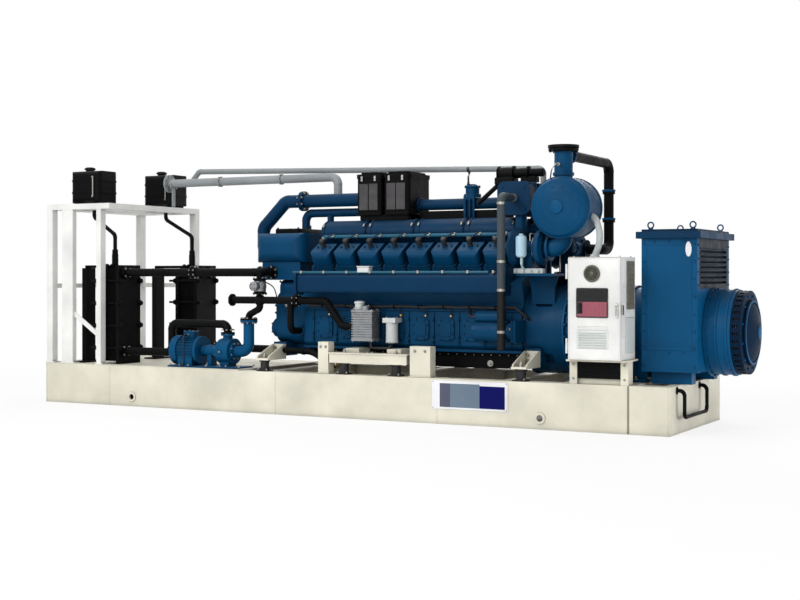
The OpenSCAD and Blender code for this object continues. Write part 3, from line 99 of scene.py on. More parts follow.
class Graph:
    """Node tree of a material or world, with short calls for the nodes used here."""

    def __init__(self, owner):
        owner.use_nodes = True
        self.tree = owner.node_tree
        self.shader = self.tree.nodes.get("Principled BSDF") or self.tree.nodes["Background"]

    def feed(self, socket, value):
        """Links an output to socket, or sets a plain value on it."""
        if isinstance(value, bpy.types.NodeSocket):
            self.tree.links.new(value, socket)
        else:
            socket.default_value = value

    def node(self, kind, inputs=(), **settings):
        made = self.tree.nodes.new(kind)
        for key, value in settings.items():
            setattr(made, key, value)
        for key, value in dict(inputs).items():
            self.feed(made.inputs[key], value)
        return made

    def shade(self, **inputs):
        """Feeds the shader's inputs; their names have underscores for spaces."""
        for key, value in inputs.items():
            self.feed(self.shader.inputs[key.replace("_", " ")], value)

    def place(self):
        """Object coordinates, which are world coordinates on every piece of this part."""
        return self.node("ShaderNodeTexCoord").outputs["Object"]

    def split(self, vector):
        return self.node("ShaderNodeSeparateXYZ", {0: vector}).outputs

    def math(self, operation, a, b=0.0, clamp=False):
        return self.node("ShaderNodeMath", {0: a, 1: b}, operation=operation, use_clamp=clamp).outputs[0]

    def times(self, a, b):
        return self.math("MULTIPLY", a, b)

    def ramp(self, value, low, high, out_low=0.0, out_high=1.0):
        """Maps value from low..high to out_low..out_high, clamped."""
        ends = {"From Min": low, "From Max": high, "To Min": out_low, "To Max": out_high}
        return self.node("ShaderNodeMapRange", {"Value": value, **ends}).outputs["Result"]

    def noise(self, scale, detail=4.0, rough=0.55):
        """Noise in object space, so that its scale is in cycles a metre."""
        inputs = {"Vector": self.place(), "Scale": scale, "Detail": detail, "Roughness": rough}
        return self.node("ShaderNodeTexNoise", inputs).outputs["Fac"]

    def mix(self, factor, a, b):
        """Colour a where factor is 0, and b where it is 1."""
        inputs = {"Factor": factor, "A": a, "B": b}
        return self.node("ShaderNodeMix", inputs, data_type="RGBA").outputs["Result"]

    def bump(self, height, strength, distance, normal=None):
        inputs = {"Strength": strength, "Distance": distance, "Height": height}
        if normal is not None:
            inputs["Normal"] = normal
        return self.node("ShaderNodeBump", inputs).outputs["Normal"]

    def below(self, axis, limit):
        """1 where the place's coordinate is less than limit, in millimetres."""
        return self.math("LESS_THAN", self.split(self.place())[axis], MM * limit)

    def beyond(self, axis, limit):
        return self.math("GREATER_THAN", self.split(self.place())[axis], MM * limit)

    def inside(self, axis, half):
        """1 where the place's coordinate is within half of 0, in millimetres."""
        return self.times(self.below(axis, half), self.beyond(axis, -half))


def rgba(colour, factor=1.0):
    return tuple(min(1.0, c * factor) for c in colour) + (1.0,)


materials = {}
BEVEL_RADIUS = 0.004
# reach of the painted shade in hollows, in metres
HOLLOW_SHADE_REACH = 0.08
# noise scales, in cycles a metre
MOTTLE, DUST_PATCH, CHIP, SMEAR, PEEL = 2.2, 5.5, 38, 9, 260
DUST = (0.30, 0.29, 0.26)


def new_graph(name):
    materials[name] = bpy.data.materials.new(name)
    return Graph(materials[name])


def edge_mask(g, radius):
    """1 along edges and 0 on flats, from how far a rounded normal leans away, and that normal."""
    eased = g.node("ShaderNodeBevel", {"Radius": radius}, samples=4).outputs["Normal"]
    flat = g.node("ShaderNodeNewGeometry").outputs["Normal"]
    dot = g.node("ShaderNodeVectorMath", {0: eased, 1: flat}, operation="DOT_PRODUCT")
    return g.ramp(dot.outputs["Value"], 0.995, 0.90), eased


def enamel(name, colour, roughness=0.4, dust=0.2, wear=0.35, under=(0.09, 0.085, 0.08),
           specular=0.35, zones=()):
    """Sprayed machine enamel: mottling, orange peel, dust on top faces, painted shade in hollows, rubbed
    edges.

    zones are (mask, colour) pairs: where mask(graph) is 1, the paint has that colour.
    """
    g = new_graph(name)
    edge, eased = edge_mask(g, BEVEL_RADIUS)
    tone = g.mix(g.ramp(g.noise(MOTTLE, 5), 0.3, 0.7), rgba(colour, 0.84), rgba(colour, 1.12))
    for mask, zone_colour in zones:
        tone = g.mix(mask(g), tone, rgba(zone_colour))

    upward = g.ramp(g.split(g.node("ShaderNodeNewGeometry").outputs["Normal"])["Z"], 0.35, 0.98)
    patches = g.ramp(g.noise(DUST_PATCH, 6, 0.65), 0.42, 0.68, 0.25, 1.0)
    dusty = g.times(g.times(upward, patches), dust)
    tone = g.mix(dusty, tone, rgba(DUST))

    # painted shade: ambient occlusion darkens the paint towards a dark copy of its own colour in hollows and
    # between parts
    painted_hollow_shade = g.node("ShaderNodeAmbientOcclusion", {"Distance": HOLLOW_SHADE_REACH}, samples=4).outputs["AO"]
    tone = g.mix(g.ramp(painted_hollow_shade, 0.8, 0.2, 0.0, 0.75), tone, rgba(colour, 0.16))

    chips = g.ramp(g.noise(CHIP, 5, 0.7), 0.52, 0.6)
    rubbed = g.times(g.times(edge, chips), wear)
    smear = g.ramp(g.noise(SMEAR), 0.3, 0.7, roughness * 0.8, roughness * 1.25)
    g.shade(Base_Color=g.mix(rubbed, tone, rgba(under)),
            Roughness=g.math("ADD", smear, g.times(dusty, 0.5), clamp=True),
            Normal=g.bump(g.noise(PEEL, 2), 0.06, 0.0008, eased),
            Specular_IOR_Level=specular)


def metal(name, colour, roughness=0.35, cast=0.0):
    """Bare metal: machined or plated when cast is 0, sand cast towards 1."""
    g = new_graph(name)
    eased = edge_mask(g, BEVEL_RADIUS / 2)[1]
    patches = g.ramp(g.noise(14, 5, 0.6), 0.3, 0.7)
    g.shade(Base_Color=g.mix(patches, rgba(colour, 0.8), rgba(colour, 1.12)),
            Metallic=1.0 if cast < 0.5 else 0.7,
            Roughness=g.ramp(g.noise(40, 3, 0.6), 0.3, 0.7, roughness * 0.75, roughness * 1.3),
            Normal=g.bump(g.noise(220 if cast else 500, 3), 0.1 + 0.5 * cast, 0.0006, eased))


def polymer(name, colour, roughness=0.5, bloom=1.8, grain=400):
    """Moulded plastic or rubber: fine grain, a paler bloom in patches."""
    g = new_graph(name)
    pale = g.ramp(g.noise(20), 0.4, 0.7, 0.0, 0.5)
    g.shade(Base_Color=g.mix(pale, rgba(colour), rgba(colour, bloom)),
            Roughness=g.ramp(g.noise(35, 3), 0.3, 0.7, roughness * 0.85, roughness * 1.2),
            Normal=g.bump(g.noise(grain, 2), 0.15, 0.0005),
            Specular_IOR_Level=0.35)


def perforated(name, colour, holes=115):
    """Sheet with rows of round holes, as dark spots with a bump."""
    g = new_graph(name)
    inputs = {"Vector": g.place(), "Scale": holes, "Randomness": 0.0}
    cells = g.node("ShaderNodeTexVoronoi", inputs, feature="F1")
    hole = g.ramp(cells.outputs["Distance"], 0.42, 0.34)
    sheet = g.mix(g.ramp(g.noise(8, 5), 0.35, 0.7), rgba(colour, 0.75), rgba(colour, 1.2))
    g.shade(Base_Color=g.mix(hole, sheet, rgba(colour, 0.12)),
            Roughness=g.ramp(g.noise(30, 3), 0.3, 0.7, 0.45, 0.65),
            Normal=g.bump(g.math("SUBTRACT", 1.0, hole), 0.5, 0.0012),
            Specular_IOR_Level=0.3)


BLUE = (0.0010, 0.068, 0.172)
RISER_BLUE = (0.0009, 0.054, 0.138)
ENGINE_BLUE = (0.0008, 0.044, 0.112)
DEEP_BLUE = (0.0006, 0.028, 0.076)
NAVY = (0.003, 0.013, 0.034)
# near black for the painted shade of the alternator's louvred end face
LOUVRE_SHADE = (0.001, 0.005, 0.014)
BLACK = (0.0035, 0.0037, 0.0042)
BREATHER_GREY = (0.045, 0.060, 0.070)
BLUE_WORN = (0.03, 0.11, 0.20)
SIGN_WORN = (0.4, 0.4, 0.4)
PAINT_SHINE = 0.09


def blue_enamel(name, colour, *zones):
    """The set's blue enamel in one of its tones."""
    enamel(name, colour, 0.42, 0.08, 0.45, BLUE_WORN, PAINT_SHINE, zones)


def flange_top(g):
    """The outlet flange on top of the exhaust riser."""
    return g.beyond("Z", RISER_BOX.z1 - 60)


def breather(g):
    """The breather pipe beside the engine."""
    return g.below("Y", 250 - HALF_W)


def shaded_breather_tail(g):
    """The breather pipe below the turbocharger shelf, painted black as shade."""
    return g.times(g.below("Z", CRANK_Z + 380), breather(g))


def shaded_louvre_bay(g):
    """The louvred bay in the alternator housing's end face, painted near black as shade."""
    end = g.times(g.beyond("X", HOUSE.x1 - 60), g.beyond("Z", HOUSE.z1 - 440))
    return g.times(end, g.inside("Y", HOUSE.y1 - 60))


def make_materials():
    """A material for each slot of the record, and the tones and two-colour paints beside them."""
    blue_enamel("blue_paint", ENGINE_BLUE)
    blue_enamel("deep_blue", DEEP_BLUE)
    blue_enamel("alternator_blue", BLUE)
    # painted shade: the louvred bay of the housing's end face is near black
    blue_enamel("housing_blue", BLUE, (shaded_louvre_bay, LOUVRE_SHADE))
    blue_enamel("riser_paint", RISER_BLUE, (flange_top, BLACK))
    enamel("navy_paint", NAVY, 0.45, 0.06, 0.45, BLUE_WORN, 0.03)
    # lighter blue of the ignition rails and plenum conduits; on the conduits it is a painted highlight along
    # the plenums' top edge
    enamel("rail_and_highlight_blue", (0.012, 0.10, 0.17), 0.4, 0.1, 0.2, BLUE_WORN, 0.2)
    # pale blue of the turbo actuators' cans, a painted highlight
    enamel("actuator_highlight_blue", (0.42, 0.62, 0.74), 0.35, 0.1, 0.2)
    enamel("cream_paint", (0.72, 0.69, 0.575), 0.45, 0.25, 0.5, (0.30, 0.22, 0.15), 0.25)
    enamel("white_paint", (0.80, 0.80, 0.78), 0.45, 0.12, 0.3, (0.35, 0.33, 0.3), 0.2)
    enamel("black_paint", BLACK, 0.46, 0.04, 0.5, (0.03, 0.03, 0.03), 0.05)
    enamel("grey_paint", (0.30, 0.32, 0.33), 0.42, 0.15, 0.3)
    enamel("vent_paint", (0.27, 0.29, 0.30), 0.42, 0.15, 0.3, specular=0.2,
           # painted shade: the breather pipe is black below the turbocharger shelf
           zones=[(breather, BREATHER_GREY), (shaded_breather_tail, BLACK)])
    enamel("pale_paint", (0.62, 0.66, 0.65), 0.42, 0.15, 0.3)
    enamel("filter_white", (0.60, 0.63, 0.63), 0.3, 0.1, 0.2)
    # brown of the skid's joint strips, painted shade of the joint
    enamel("joint_shade_brown", (0.26, 0.23, 0.18), 0.6, 0.1, 0.3)
    enamel("louvre_white", (0.74, 0.77, 0.75), 0.4, 0.1, 0.2, specular=0.2)
    # olive grey of the panel's side filter, painted shade of its side face
    enamel("side_shade_olive", (0.17, 0.16, 0.125), 0.45, 0.1, 0.2)
    enamel("vent_dark", (0.085, 0.085, 0.06), 0.4, 0.1, 0.2)
    enamel("sign_white", (0.82, 0.82, 0.85), 0.35, 0.0, 0.1, SIGN_WORN)
    enamel("sign_grey", (0.15, 0.20, 0.27), 0.35, 0.0, 0.1, SIGN_WORN, 0.1)
    enamel("sign_plum", (0.095, 0.10, 0.15), 0.35, 0.0, 0.1, SIGN_WORN, 0.1)
    enamel("sign_navy", (0.001, 0.002, 0.10), 0.35, 0.0, 0.1, SIGN_WORN, 0.1)
    metal("cast_aluminium", (0.27, 0.28, 0.29), 0.48, cast=0.6)
    metal("plated_steel", (0.34, 0.33, 0.30), 0.34)
    metal("brass_fitting", (0.58, 0.42, 0.17), 0.3)
    polymer("mount_rubber", (0.012, 0.012, 0.013), 0.65, 2.4)
    polymer("cable_black", (0.010, 0.010, 0.011), 0.45)
    polymer("conduit_grey", (0.42, 0.45, 0.45), 0.45, 1.25)
    polymer("display_black", (0.006, 0.006, 0.007), 0.16, 1.5, 900)
    polymer("display_red", (0.30, 0.075, 0.105), 0.42, 1.15, 900)
    perforated("filter_grey", (0.085, 0.08, 0.085))


NODE_FINISH = {
    "exhaust_riser": "riser_paint", "overhead_pipes": "vent_paint",
    "alternator_frame": "alternator_blue", "alternator_housing": "housing_blue",
    # the alternator's lid takes the deep blue as painted shade of its overhang
    "alternator_drum": "alternator_blue", "alternator_lid": "deep_blue",
    "alternator_vent_ring": "navy_paint", "alternator_cap": "navy_paint",
    "inlet_plenums": "deep_blue", "exhaust_manifolds": "deep_blue", "intake_pipe": "deep_blue",
    "charge_cooler": "deep_blue", "pump_motor": "alternator_blue", "pump_casing": "alternator_blue",
}


def finish_cad_nodes():
    """Gives every CAD node the finish of its slot, or the tone that NODE_FINISH names."""
    for part in frame["record"]["subparts"]:
        slots = frame["nodes"][part["node"]].data.materials
        for i in range(len(slots)):
            slots[i] = materials[NODE_FINISH.get(part["node"], part["material_slot"])]


# ---------------------------------------------------------------- stage

FLOOR_HALF = 80
FLOOR_DROP = 0.001
SHADOW_NEAR, SHADOW_FAR = 3.5, 9.0
WORLD_FILL = 0.36
LAMPS = (
    # name, place from the object's centre, size, watts
    ("lamp_key", (-2.6, -10.0, 6.0), 5.5, 640),
    ("lamp_front", (3.4, -9.5, 2.0), 6.0, 200),
    ("lamp_top", (-0.5, 0.5, 8.5), 7.0, 360),
    ("lamp_back", (-2.0, 9.5, 4.5), 7.0, 620),
    ("lamp_end", (6.3, -0.8, -0.9), 1.6, 60),
)


def seen(g):
    """1 on what the camera sees, directly or in metal and glass."""
    path = g.node("ShaderNodeLightPath").outputs
    both = g.math("MAXIMUM", path["Is Camera Ray"], path["Is Glossy Ray"])
    return g.math("MAXIMUM", both, path["Is Transmission Ray"])


def add_floor():
    """Pale floor: true shade within the skid, the object's shadow near it, white further out."""
    g = new_graph("floor")
    g.shade(Base_Color=(0.88, 0.88, 0.88, 1), Roughness=0.9, Specular_IOR_Level=0.0)
    length = g.node("ShaderNodeVectorMath", {0: g.place()}, operation="LENGTH")
    share = g.ramp(length.outputs["Value"], SHADOW_NEAR, SHADOW_FAR, 0.82, 1.0)
    within = g.times(g.inside("X", HALF_L - RAIL_W), g.inside("Y", HALF_W - RAIL_W))
    share = g.times(share, g.math("SUBTRACT", 1.0, within))
    glow = g.node("ShaderNodeEmission").outputs[0]
    layers = {0: g.times(seen(g), share), 1: g.shader.outputs[0], 2: glow}
    blend = g.node("ShaderNodeMixShader", layers).outputs[0]
    g.feed(g.tree.nodes["Material Output"].inputs["Surface"], blend)
    mesh = bpy.data.meshes.new("floor")
    corners = [(x * FLOOR_HALF, y * FLOOR_HALF, 0) for x, y in ((-1, -1), (1, -1), (1, 1), (-1, 1))]
    mesh.from_pydata(corners, [], [(0, 1, 2, 3)])
    mesh.materials.append(materials["floor"])
    add_object("floor", mesh, (0, 0, -FLOOR_DROP))


def add_world():
    """White where the camera, metal and glass see it, and a soft fill of WORLD_FILL on the object."""
    world = bpy.context.scene.world = bpy.data.worlds.new("studio")
    g = Graph(world)
    g.shade(Color=(1, 1, 1, 1), Strength=g.ramp(seen(g), 0, 1, WORLD_FILL, 1))


def add_lamps():
    """Broad soft lamps: a key from the left, fills from the front, above, behind and the skid's end."""
    low, high = cad_bounds
    centre = (Vector(low) + Vector(high)) / 2
    foot = Vector((high[0] - 0.6, centre.y, 0.2))
    for name, offset, size, power in LAMPS:
        lamp = bpy.data.lights.new(name, "AREA")
        lamp.size = size
        lamp.energy = power
        place = centre + Vector(offset)
        target = foot if name == "lamp_end" else centre
        add_object(name, lamp, place, (target - place).to_track_quat("-Z", "Y").to_euler())


def add_stage():
    bpy.context.scene.view_settings.view_transform = "Standard"
    add_floor()
    add_world()
    add_lamps()


# ---------------------------------------------------------------- shapes

X, Y, Z = (Vector(row) for row in Matrix.Identity(3))
SIDES = (-1, 1)
SMOOTH_ANGLE = radians(34)


def vec(x, y, z):
    return Vector((x, y, z))


def at(*place):
    return Matrix.Translation(place)


def spin(angle, axis="Z"):
    return Matrix.Rotation(angle, 4, axis)


def aim(point, axis):
    """Matrix that takes the origin to point and local Z to axis."""
    return Matrix.Translation(point) @ Vector(axis).to_track_quat("Z", "Y").to_matrix().to_4x4()


def rounded(points, radius, steps=5):
    """Path through points with each corner eased over about radius."""
    points = [Vector(p) for p in points]
    path = [points[0]]
    for before, corner, after in zip(points, points[1:], points[2:]):
        into, out = before - corner, after - corner
        reach = min(radius, 0.48 * into.length, 0.48 * out.length)
        start = corner + into.normalized() * reach
        end = corner + out.normalized() * reach
        for k in range(steps + 1):
            t = k / steps
            path.append(start * (1 - t) ** 2 + corner * (2 * t * (1 - t)) + end * t * t)
    return path + [points[-1]]


def spline(points, steps=7):
    """Smooth path that passes through every point."""
    points = [Vector(p) for p in points]
    ends = [points[0] * 2 - points[1]] + points + [points[-1] * 2 - points[-2]]
    path = []
    for a, b, c, d in zip(ends, ends[1:], ends[2:], ends[3:]):
        for k in range(steps):
            t = k / steps
            square = (2 * a - 5 * b + 4 * c - d) * t * t
            path.append(0.5 * (2 * b + (c - a) * t + square + (3 * b - a - 3 * c + d) * t ** 3))
    return path + [points[-1]]


def pair(middle, half):
    return middle - half, middle + half


def spots(*ranges):
    """Points that take each coordinate from its range; a bare number stays as it is."""
    return product(*(r if isinstance(r, (tuple, list)) else (r,) for r in ranges))


def shapes(finish, *names, body="set"):
    return [Shape(name, finish, body) for name in names]


def round_outline(w, h, r, steps=5):
    """Rectangle with round corners, centred, as points in order."""
    points = []
    for sx, sy, first in ((1, 1, 0), (-1, 1, 1), (-1, -1, 2), (1, -1, 3)):
        for k in range(steps + 1):
            angle = (first + k / steps) * pi / 2
            points.append((sx * (w / 2 - r) + r * cos(angle), sy * (h / 2 - r) + r * sin(angle)))
    return points


class Shape:
    """One visible piece, gathered from closed forms in millimetres."""

    made = []

    def __init__(self, name, finish, body="set"):
        self.name, self.finish, self.body = name, finish, body
        self.verts, self.faces = [], []
        Shape.made.append(self)

    def add(self, verts, faces, place=None):
        first = len(self.verts)
        self.verts += [place @ Vector(v) if place else Vector(v) for v in verts]
        self.faces += [tuple(first + i for i in face) for face in faces]

    def slab(self, low, high, chamfer=2, place=None):
        """Box between two corners with all its edges chamfered."""
        low, high = [min(a, b) for a, b in zip(low, high)], [max(a, b) for a, b in zip(low, high)]
        cut = min([chamfer] + [(b - a) * 0.45 for a, b in zip(low, high)])
        corners = list(product((0, 1), repeat=3))
        verts, index = [], {}
        for corner, axis in product(corners, range(3)):
            inset = [0 if i == axis else cut for i in range(3)]
            index[corner, axis] = len(verts)
            verts.append([high[i] - inset[i] if corner[i] else low[i] + inset[i] for i in range(3)])
        faces = [[index[corner, axis] for axis in range(3)] for corner in corners]
        for axis in range(3):
            u, v = (axis + 1) % 3, (axis + 2) % 3

            def vertex(along, a, b, which):
                corner = [0, 0, 0]
                corner[axis], corner[u], corner[v] = along, a, b
                return index[tuple(corner), which]

            for side in (0, 1):
                faces.append([vertex(side, a, b, axis) for a, b in ((0, 0), (1, 0), (1, 1), (0, 1))])
            for a, b in product((0, 1), repeat=2):
                faces.append([vertex(*ends, a, b, which) for ends, which in (((0,), u), ((1,), u),
                                                                             ((1,), v), ((0,), v))])
        self.add(verts, faces, place)

    def bar(self, xs, ys, zs, chamfer=2):
        """Slab between a pair of values on each axis."""
        self.slab(*zip(xs, ys, zs), chamfer)

    def lathe(self, profile, place=None, segments=20, loop=False):
        """Solid turned about Z through (radius, height) points; with loop, the profile closes on itself."""
        verts, faces, rings = [], [], []
        for radius, height in profile:
            count = segments if radius else 1
            rings.append(range(len(verts), len(verts) + count))
            for i in range(count):
                angle = 2 * pi * i / segments
                verts.append((radius * cos(angle), radius * sin(angle), height))
        for a, b in list(zip(rings, rings[1:])) + ([(rings[-1], rings[0])] if loop else []):
            for i in range(segments):
                j = (i + 1) % segments
                corners = [a[i % len(a)], a[j % len(a)], b[j % len(b)], b[i % len(b)]]
                face = [c for k, c in enumerate(corners) if c not in corners[:k]]
                if len(face) > 2:
                    faces.append(face)
        if not loop:
            faces += [tuple(ring) for ring in (rings[0], rings[-1]) if len(ring) > 1]
        self.add(verts, faces, place)

    def ring(self, outer, inner, height, place=None, segments=28, ease=0.1):
        """Flat ring from z = 0 with eased edges."""
        cut = ease * min(height, outer - inner)
        self.lathe([(inner, 0), (outer - cut, 0), (outer, cut), (outer, height - cut),
                    (outer - cut, height), (inner, height)], place, segments, loop=True)

    def tube(self, path, radius, sides=10):
        """Round bar along path, closed at its ends."""
        path = [Vector(p) for p in path]
        last = len(path) - 1
        verts, faces = [], []
        side = None
        for i, point in enumerate(path):
            along = (path[min(i + 1, last)] - path[max(i - 1, 0)]).normalized()
            side = (side - along * side.dot(along) if side else along.orthogonal()).normalized()
            up = along.cross(side)
            for k in range(sides):
                angle = 2 * pi * k / sides
                verts.append(point + (side * cos(angle) + up * sin(angle)) * radius)
        for i, k in product(range(last), range(sides)):
            j = (k + 1) % sides
            faces.append((i * sides + k, i * sides + j, (i + 1) * sides + j, (i + 1) * sides + k))
        self.add(verts, faces + [tuple(range(sides)), tuple(range(last * sides, (last + 1) * sides))])

    def prism(self, outline, low, high, place=None, ease=0):
        """Outline in X and Y drawn out from z = low to high, with its top edge eased inwards."""
        count = len(outline)
        outline = [Vector(p) for p in outline]
        centre = sum(outline, Vector((0, 0))) / count
        levels = [(low, 0), (high - ease, 0)] + ([(high, ease)] if ease else [])
        verts = []
        for z, inset in levels:
            verts += [(p - (p - centre).normalized() * inset).to_3d() + Z * z for p in outline]
        faces = []
        for base, i in product(range(0, len(verts) - count, count), range(count)):
            j = (i + 1) % count
            faces.append((base + i, base + j, base + count + j, base + count + i))
        self.add(verts, faces + [tuple(range(count)), tuple(range(len(verts) - count, len(verts)))], place)

    def bolt(self, place, across=17, washer=True, thread=0):
        """Hex head or nut of that size across its flats, on a washer, with a thread's end above it."""
        r = across / sqrt(3)
        z0 = 0.12 * across if washer else 0
        top = z0 + 0.62 * across
        if washer:
            self.lathe([(r * 1.32, 0), (r * 1.32, z0)], place, 12)
        self.lathe([(r, z0), (r, z0 + 0.82 * (top - z0)), (r * 0.84, top)], place, 6)
        if thread:
            self.lathe([(across * 0.32, z0 + 0.9 * (top - z0)), (across * 0.32, top + thread * 0.8),
                        (across * 0.24, top + thread)], place, 8)

    def grid(self, place, us, vs, across=17, **kind):
        """Bolts in the plane of place at each pair of offsets."""
        for u, v in product(us, vs):
            self.bolt(place @ at(u, v, 0), across, **kind)

    def hexes(self, xs, ys, zs, axis, across=17, **kind):
        """Bolts at each of the spots, with their heads towards axis."""
        for point in spots(xs, ys, zs):
            self.bolt(aim(point, axis), across, **kind)

    def bolts(self, centre, axis, radius, count, across=17, phase=0.5, **kind):
        """Ring of bolts round centre, with their heads towards axis."""
        for i in range(count):
            angle = 2 * pi * (i + phase) / count
            self.bolt(aim(centre, axis) @ at(radius * cos(angle), radius * sin(angle), 0), across, **kind)

    def rings(self, *rings):
        """Bolt rings, each given as centre, axis, bolt circle, bolts and size across flats."""
        for ring in rings:
            self.bolts(*ring)

    def row(self, start, end, count, axis, across=17, **kind):
        """Bolts at equal steps from start to end."""
        for i in range(count):
            self.bolt(aim(Vector(start).lerp(Vector(end), i / (count - 1)), axis), across, **kind)

    def build(self):
        """Object in metres, smooth but for its sharp edges, in its finish and on its body."""
        mesh = bpy.data.meshes.new(self.name)
        mesh.from_pydata([v * MM for v in self.verts], [], self.faces)
        solid = bmesh.new()
        solid.from_mesh(mesh)
        bmesh.ops.recalc_face_normals(solid, faces=solid.faces)
        solid.to_mesh(mesh)
        solid.free()
        mesh.shade_smooth()
        mesh.set_sharp_from_angle(angle=SMOOTH_ANGLE)
        mesh.materials.append(materials[self.finish])
        made = add_object(self.name, mesh)
        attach(made, self.body)


# ---------------------------------------------------------------- places


class Box:
    """A CAD node's extents, middle and size, in millimetres."""

    def __init__(self, node):
        low, high = (Vector(corner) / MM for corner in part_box(node))
        self.x0, self.y0, self.z0 = low
        self.x1, self.y1, self.z1 = high
        self.mid = (low + high) / 2
        self.size = high - low


box = cache(Box)
SHELL, DOOR, STAND = box("panel_enclosure"), box("panel_door"), box("panel_stand")
CASE, HEADS, SUMP, PLENUM = box("crankcase"), box("cylinder_heads"), box("oil_sump"), box("inlet_plenums")
COOLER, FILTER_BOX, OVERHEAD = box("charge_cooler"), box("air_filter_box"), box("overhead_pipes")
PACKS, PHE, PUMP_MOTOR = box("phe_plate_packs"), box("phe_frames"), box("pump_motor")
THERMOSTAT, HOUSE, LID = box("thermostat_housing"), box("alternator_housing"), box("alternator_lid")
RISER_BOX = box("exhaust_riser")
CRANK_Z = box("crank_damper").mid.z
HALF_W = box("base_rails").y1
HALF_L = box("base_end_members").x1
SKID_TOP = box("base_rails").z1
RAIL_W = 60
RAIL_JOINT_X = HALF_L - 370
SEAM_XS = (890 - HALF_L, 2990 - HALF_L, HALF_L - 2220, RAIL_JOINT_X)
LIFTING_X = HALF_L - 1190
DECK_TOP = box("deck_plate").z1

CYLINDERS = 8
HEAD_GAP = 14
PITCH = (HEADS.size.x + HEAD_GAP) / CYLINDERS
FIRST_X = HEADS.x0 + (PITCH - HEAD_GAP) / 2
CYLINDER_XS = [FIRST_X + i * PITCH for i in range(CYLINDERS)]
BANK_TILT = radians(30)
HEAD_H = 150
HEAD_W = 290
COVER_Z = 590 + HEAD_H
COVER_H = 165
CASE_X0 = CASE.x0
CASE_X1 = CASE.x1
CASE_Y = 430
FRONT_X = box("front_cover").x0 + 10
THERMO_X = THERMOSTAT.x0

PUMP_Y = PUMP_MOTOR.mid.y
PUMP_Z = 598
END_PLATE = 40
PACK_L = 216
NEAR_X = PACKS.x0 + PACK_L + END_PLATE
FAR_X = PACKS.x1 + END_PLATE
NEAR_Y = PHE.y0 + 187
FAR_Y = PHE.y1 - 187
PLATE_Z = PACKS.z0
TOP_Z = PACKS.z1 - 50
HEADER_Z = CRANK_Z + 256
VALVE_X = THERMO_X + 180
PUMP_X = NEAR_X + 1270

TURBO = vec(CASE_X1 + 100, 480, CRANK_Z + 760)
MANIFOLD_Y = 175
MANIFOLD_Z = CRANK_Z + 930
MANIFOLD_R = 130
DUCT_Z = CRANK_Z + 1210
RISER = vec(CASE_X1 + 430, -TURBO.y, 0)
TEE_Z = RISER_BOX.z1 - 80

MOUNT_Y = HALF_W - 78
PAD_Z = SKID_TOP + 110
GAS_X0 = -2600
DOOR_X0 = SHELL.x0 + 22
DOOR_MID = (DOOR_X0 + SHELL.x1) / 2 - 12
DOOR_Z = DOOR.z0 - 3


def bank(side):
    """Frame of a bank: Z along its cylinders; side -1 is the panel side."""
    return at(0, 0, CRANK_Z) @ spin(-side * BANK_TILT, "X")


# ---------------------------------------------------------------- engine


def head_and_cover_fasteners():
    """Screws round the rocker covers, studs on top of them and collars on the inlet runners."""
    collars, studs, screws = shapes("blue_paint", "inlet_runner_collars", "rocker_cover_studs",
                                    "rocker_cover_screws")
    for side, x in product(SIDES, CYLINDER_XS):
        here = bank(side) @ at(x, 0, COVER_Z)
        screws.grid(here @ at(0, 0, 22), (-85, 0, 85), (-131, 131), 13)
        studs.grid(here @ at(0, 0, COVER_H), (-70, 70), (0,), 19, thread=8)
        studs.grid(here @ at(0, 0, -0.5), (-98, 98), (-137, 137), 15, washer=False)
        face = here @ at(0, side * (HEAD_W / 2 + 19), -HEAD_H / 2) @ spin(-side * pi / 2, "X")
        collars.ring(66, 46, 14, face)
        for k in range(4):
            studs.bolt(face @ spin((k + 0.5) * pi / 2) @ at(57, 0, 14), 12)


def ignition():
    """A coil on each cover's boss, its lead, and the rail that carries the leads along each bank."""
    clips = Shape("ignition_rail_clips", "plated_steel")
    rails = Shape("ignition_rails", "rail_and_highlight_blue")
    leads, coils = shapes("cable_black", "ignition_leads", "ignition_coils")
    rail_y, z = 345, CRANK_Z + 895
    for side in SIDES:
        y = side * rail_y
        rails.tube([(CYLINDER_XS[0] - 60, y, z), (CYLINDER_XS[-1] + 130, y, z)], 18, 12)
        for x in CYLINDER_XS:
            here = bank(side) @ at(x, 0, COVER_Z + COVER_H + 12)
            coils.lathe([(24, 0), (24, 30), (30, 34), (30, 70), (22, 80), (0, 80)], here)
            coils.slab((-14, -45, 40), (14, 0, 64), 3, here @ spin(0 if side > 0 else pi))
            start, end = here @ vec(0, -side * 40, 52), vec(x + 50, y, z)
            leads.tube(spline([start, start.lerp(end, 0.5) + vec(20, 0, 35), end], 6), 5.5, 7)
            clips.ring(24, 18, 22, aim((x + 39, y, z), X), 20)
            clips.bar((x - 90, x - 60), pair(y, 4), (z - 60, z), 1)


def crankcase_fasteners():
    """Panels and bolts of the crankcase doors, the bearing cross bolts and the sump's flange."""
    flange = Shape("sump_flange_bolts", "plated_steel")
    cross, pads, doors = shapes("blue_paint", "bearing_cross_bolts", "crankcase_door_panels",
                                "crankcase_door_bolts")
    door_w, door_h, door_z = PITCH * 0.66, 210, CRANK_Z - 10
    cross_zs = (CRANK_Z - 125, CRANK_Z - 75, CRANK_Z + 85)
    for side in SIDES:
        out = Y * side
        face = side * (CASE_Y + 15)
        for x in CYLINDER_XS:
            doors.hexes(pair(x, 45), face, pair(door_z, door_h / 2 - 14), out, 14)
            doors.hexes(pair(x, door_w / 2 - 14), face, pair(door_z, 40), out, 14)
            panel = round_outline(door_w - 60, door_h - 70, 20)
            pads.prism(panel, 0, 6, aim((x, face, door_z), out), 3)
        for i in range(CYLINDERS + 1):
            x = FIRST_X + (i - 0.5) * PITCH
            cross.hexes(x, side * (CASE_Y + 12), cross_zs, out, 22)
        y, z = side * (SUMP.y1 - 12), SUMP.z1 - 20
        flange.row((SUMP.x0 + 30, y, z), (SUMP.x1 - 30, y, z), 26, -Z, 13)


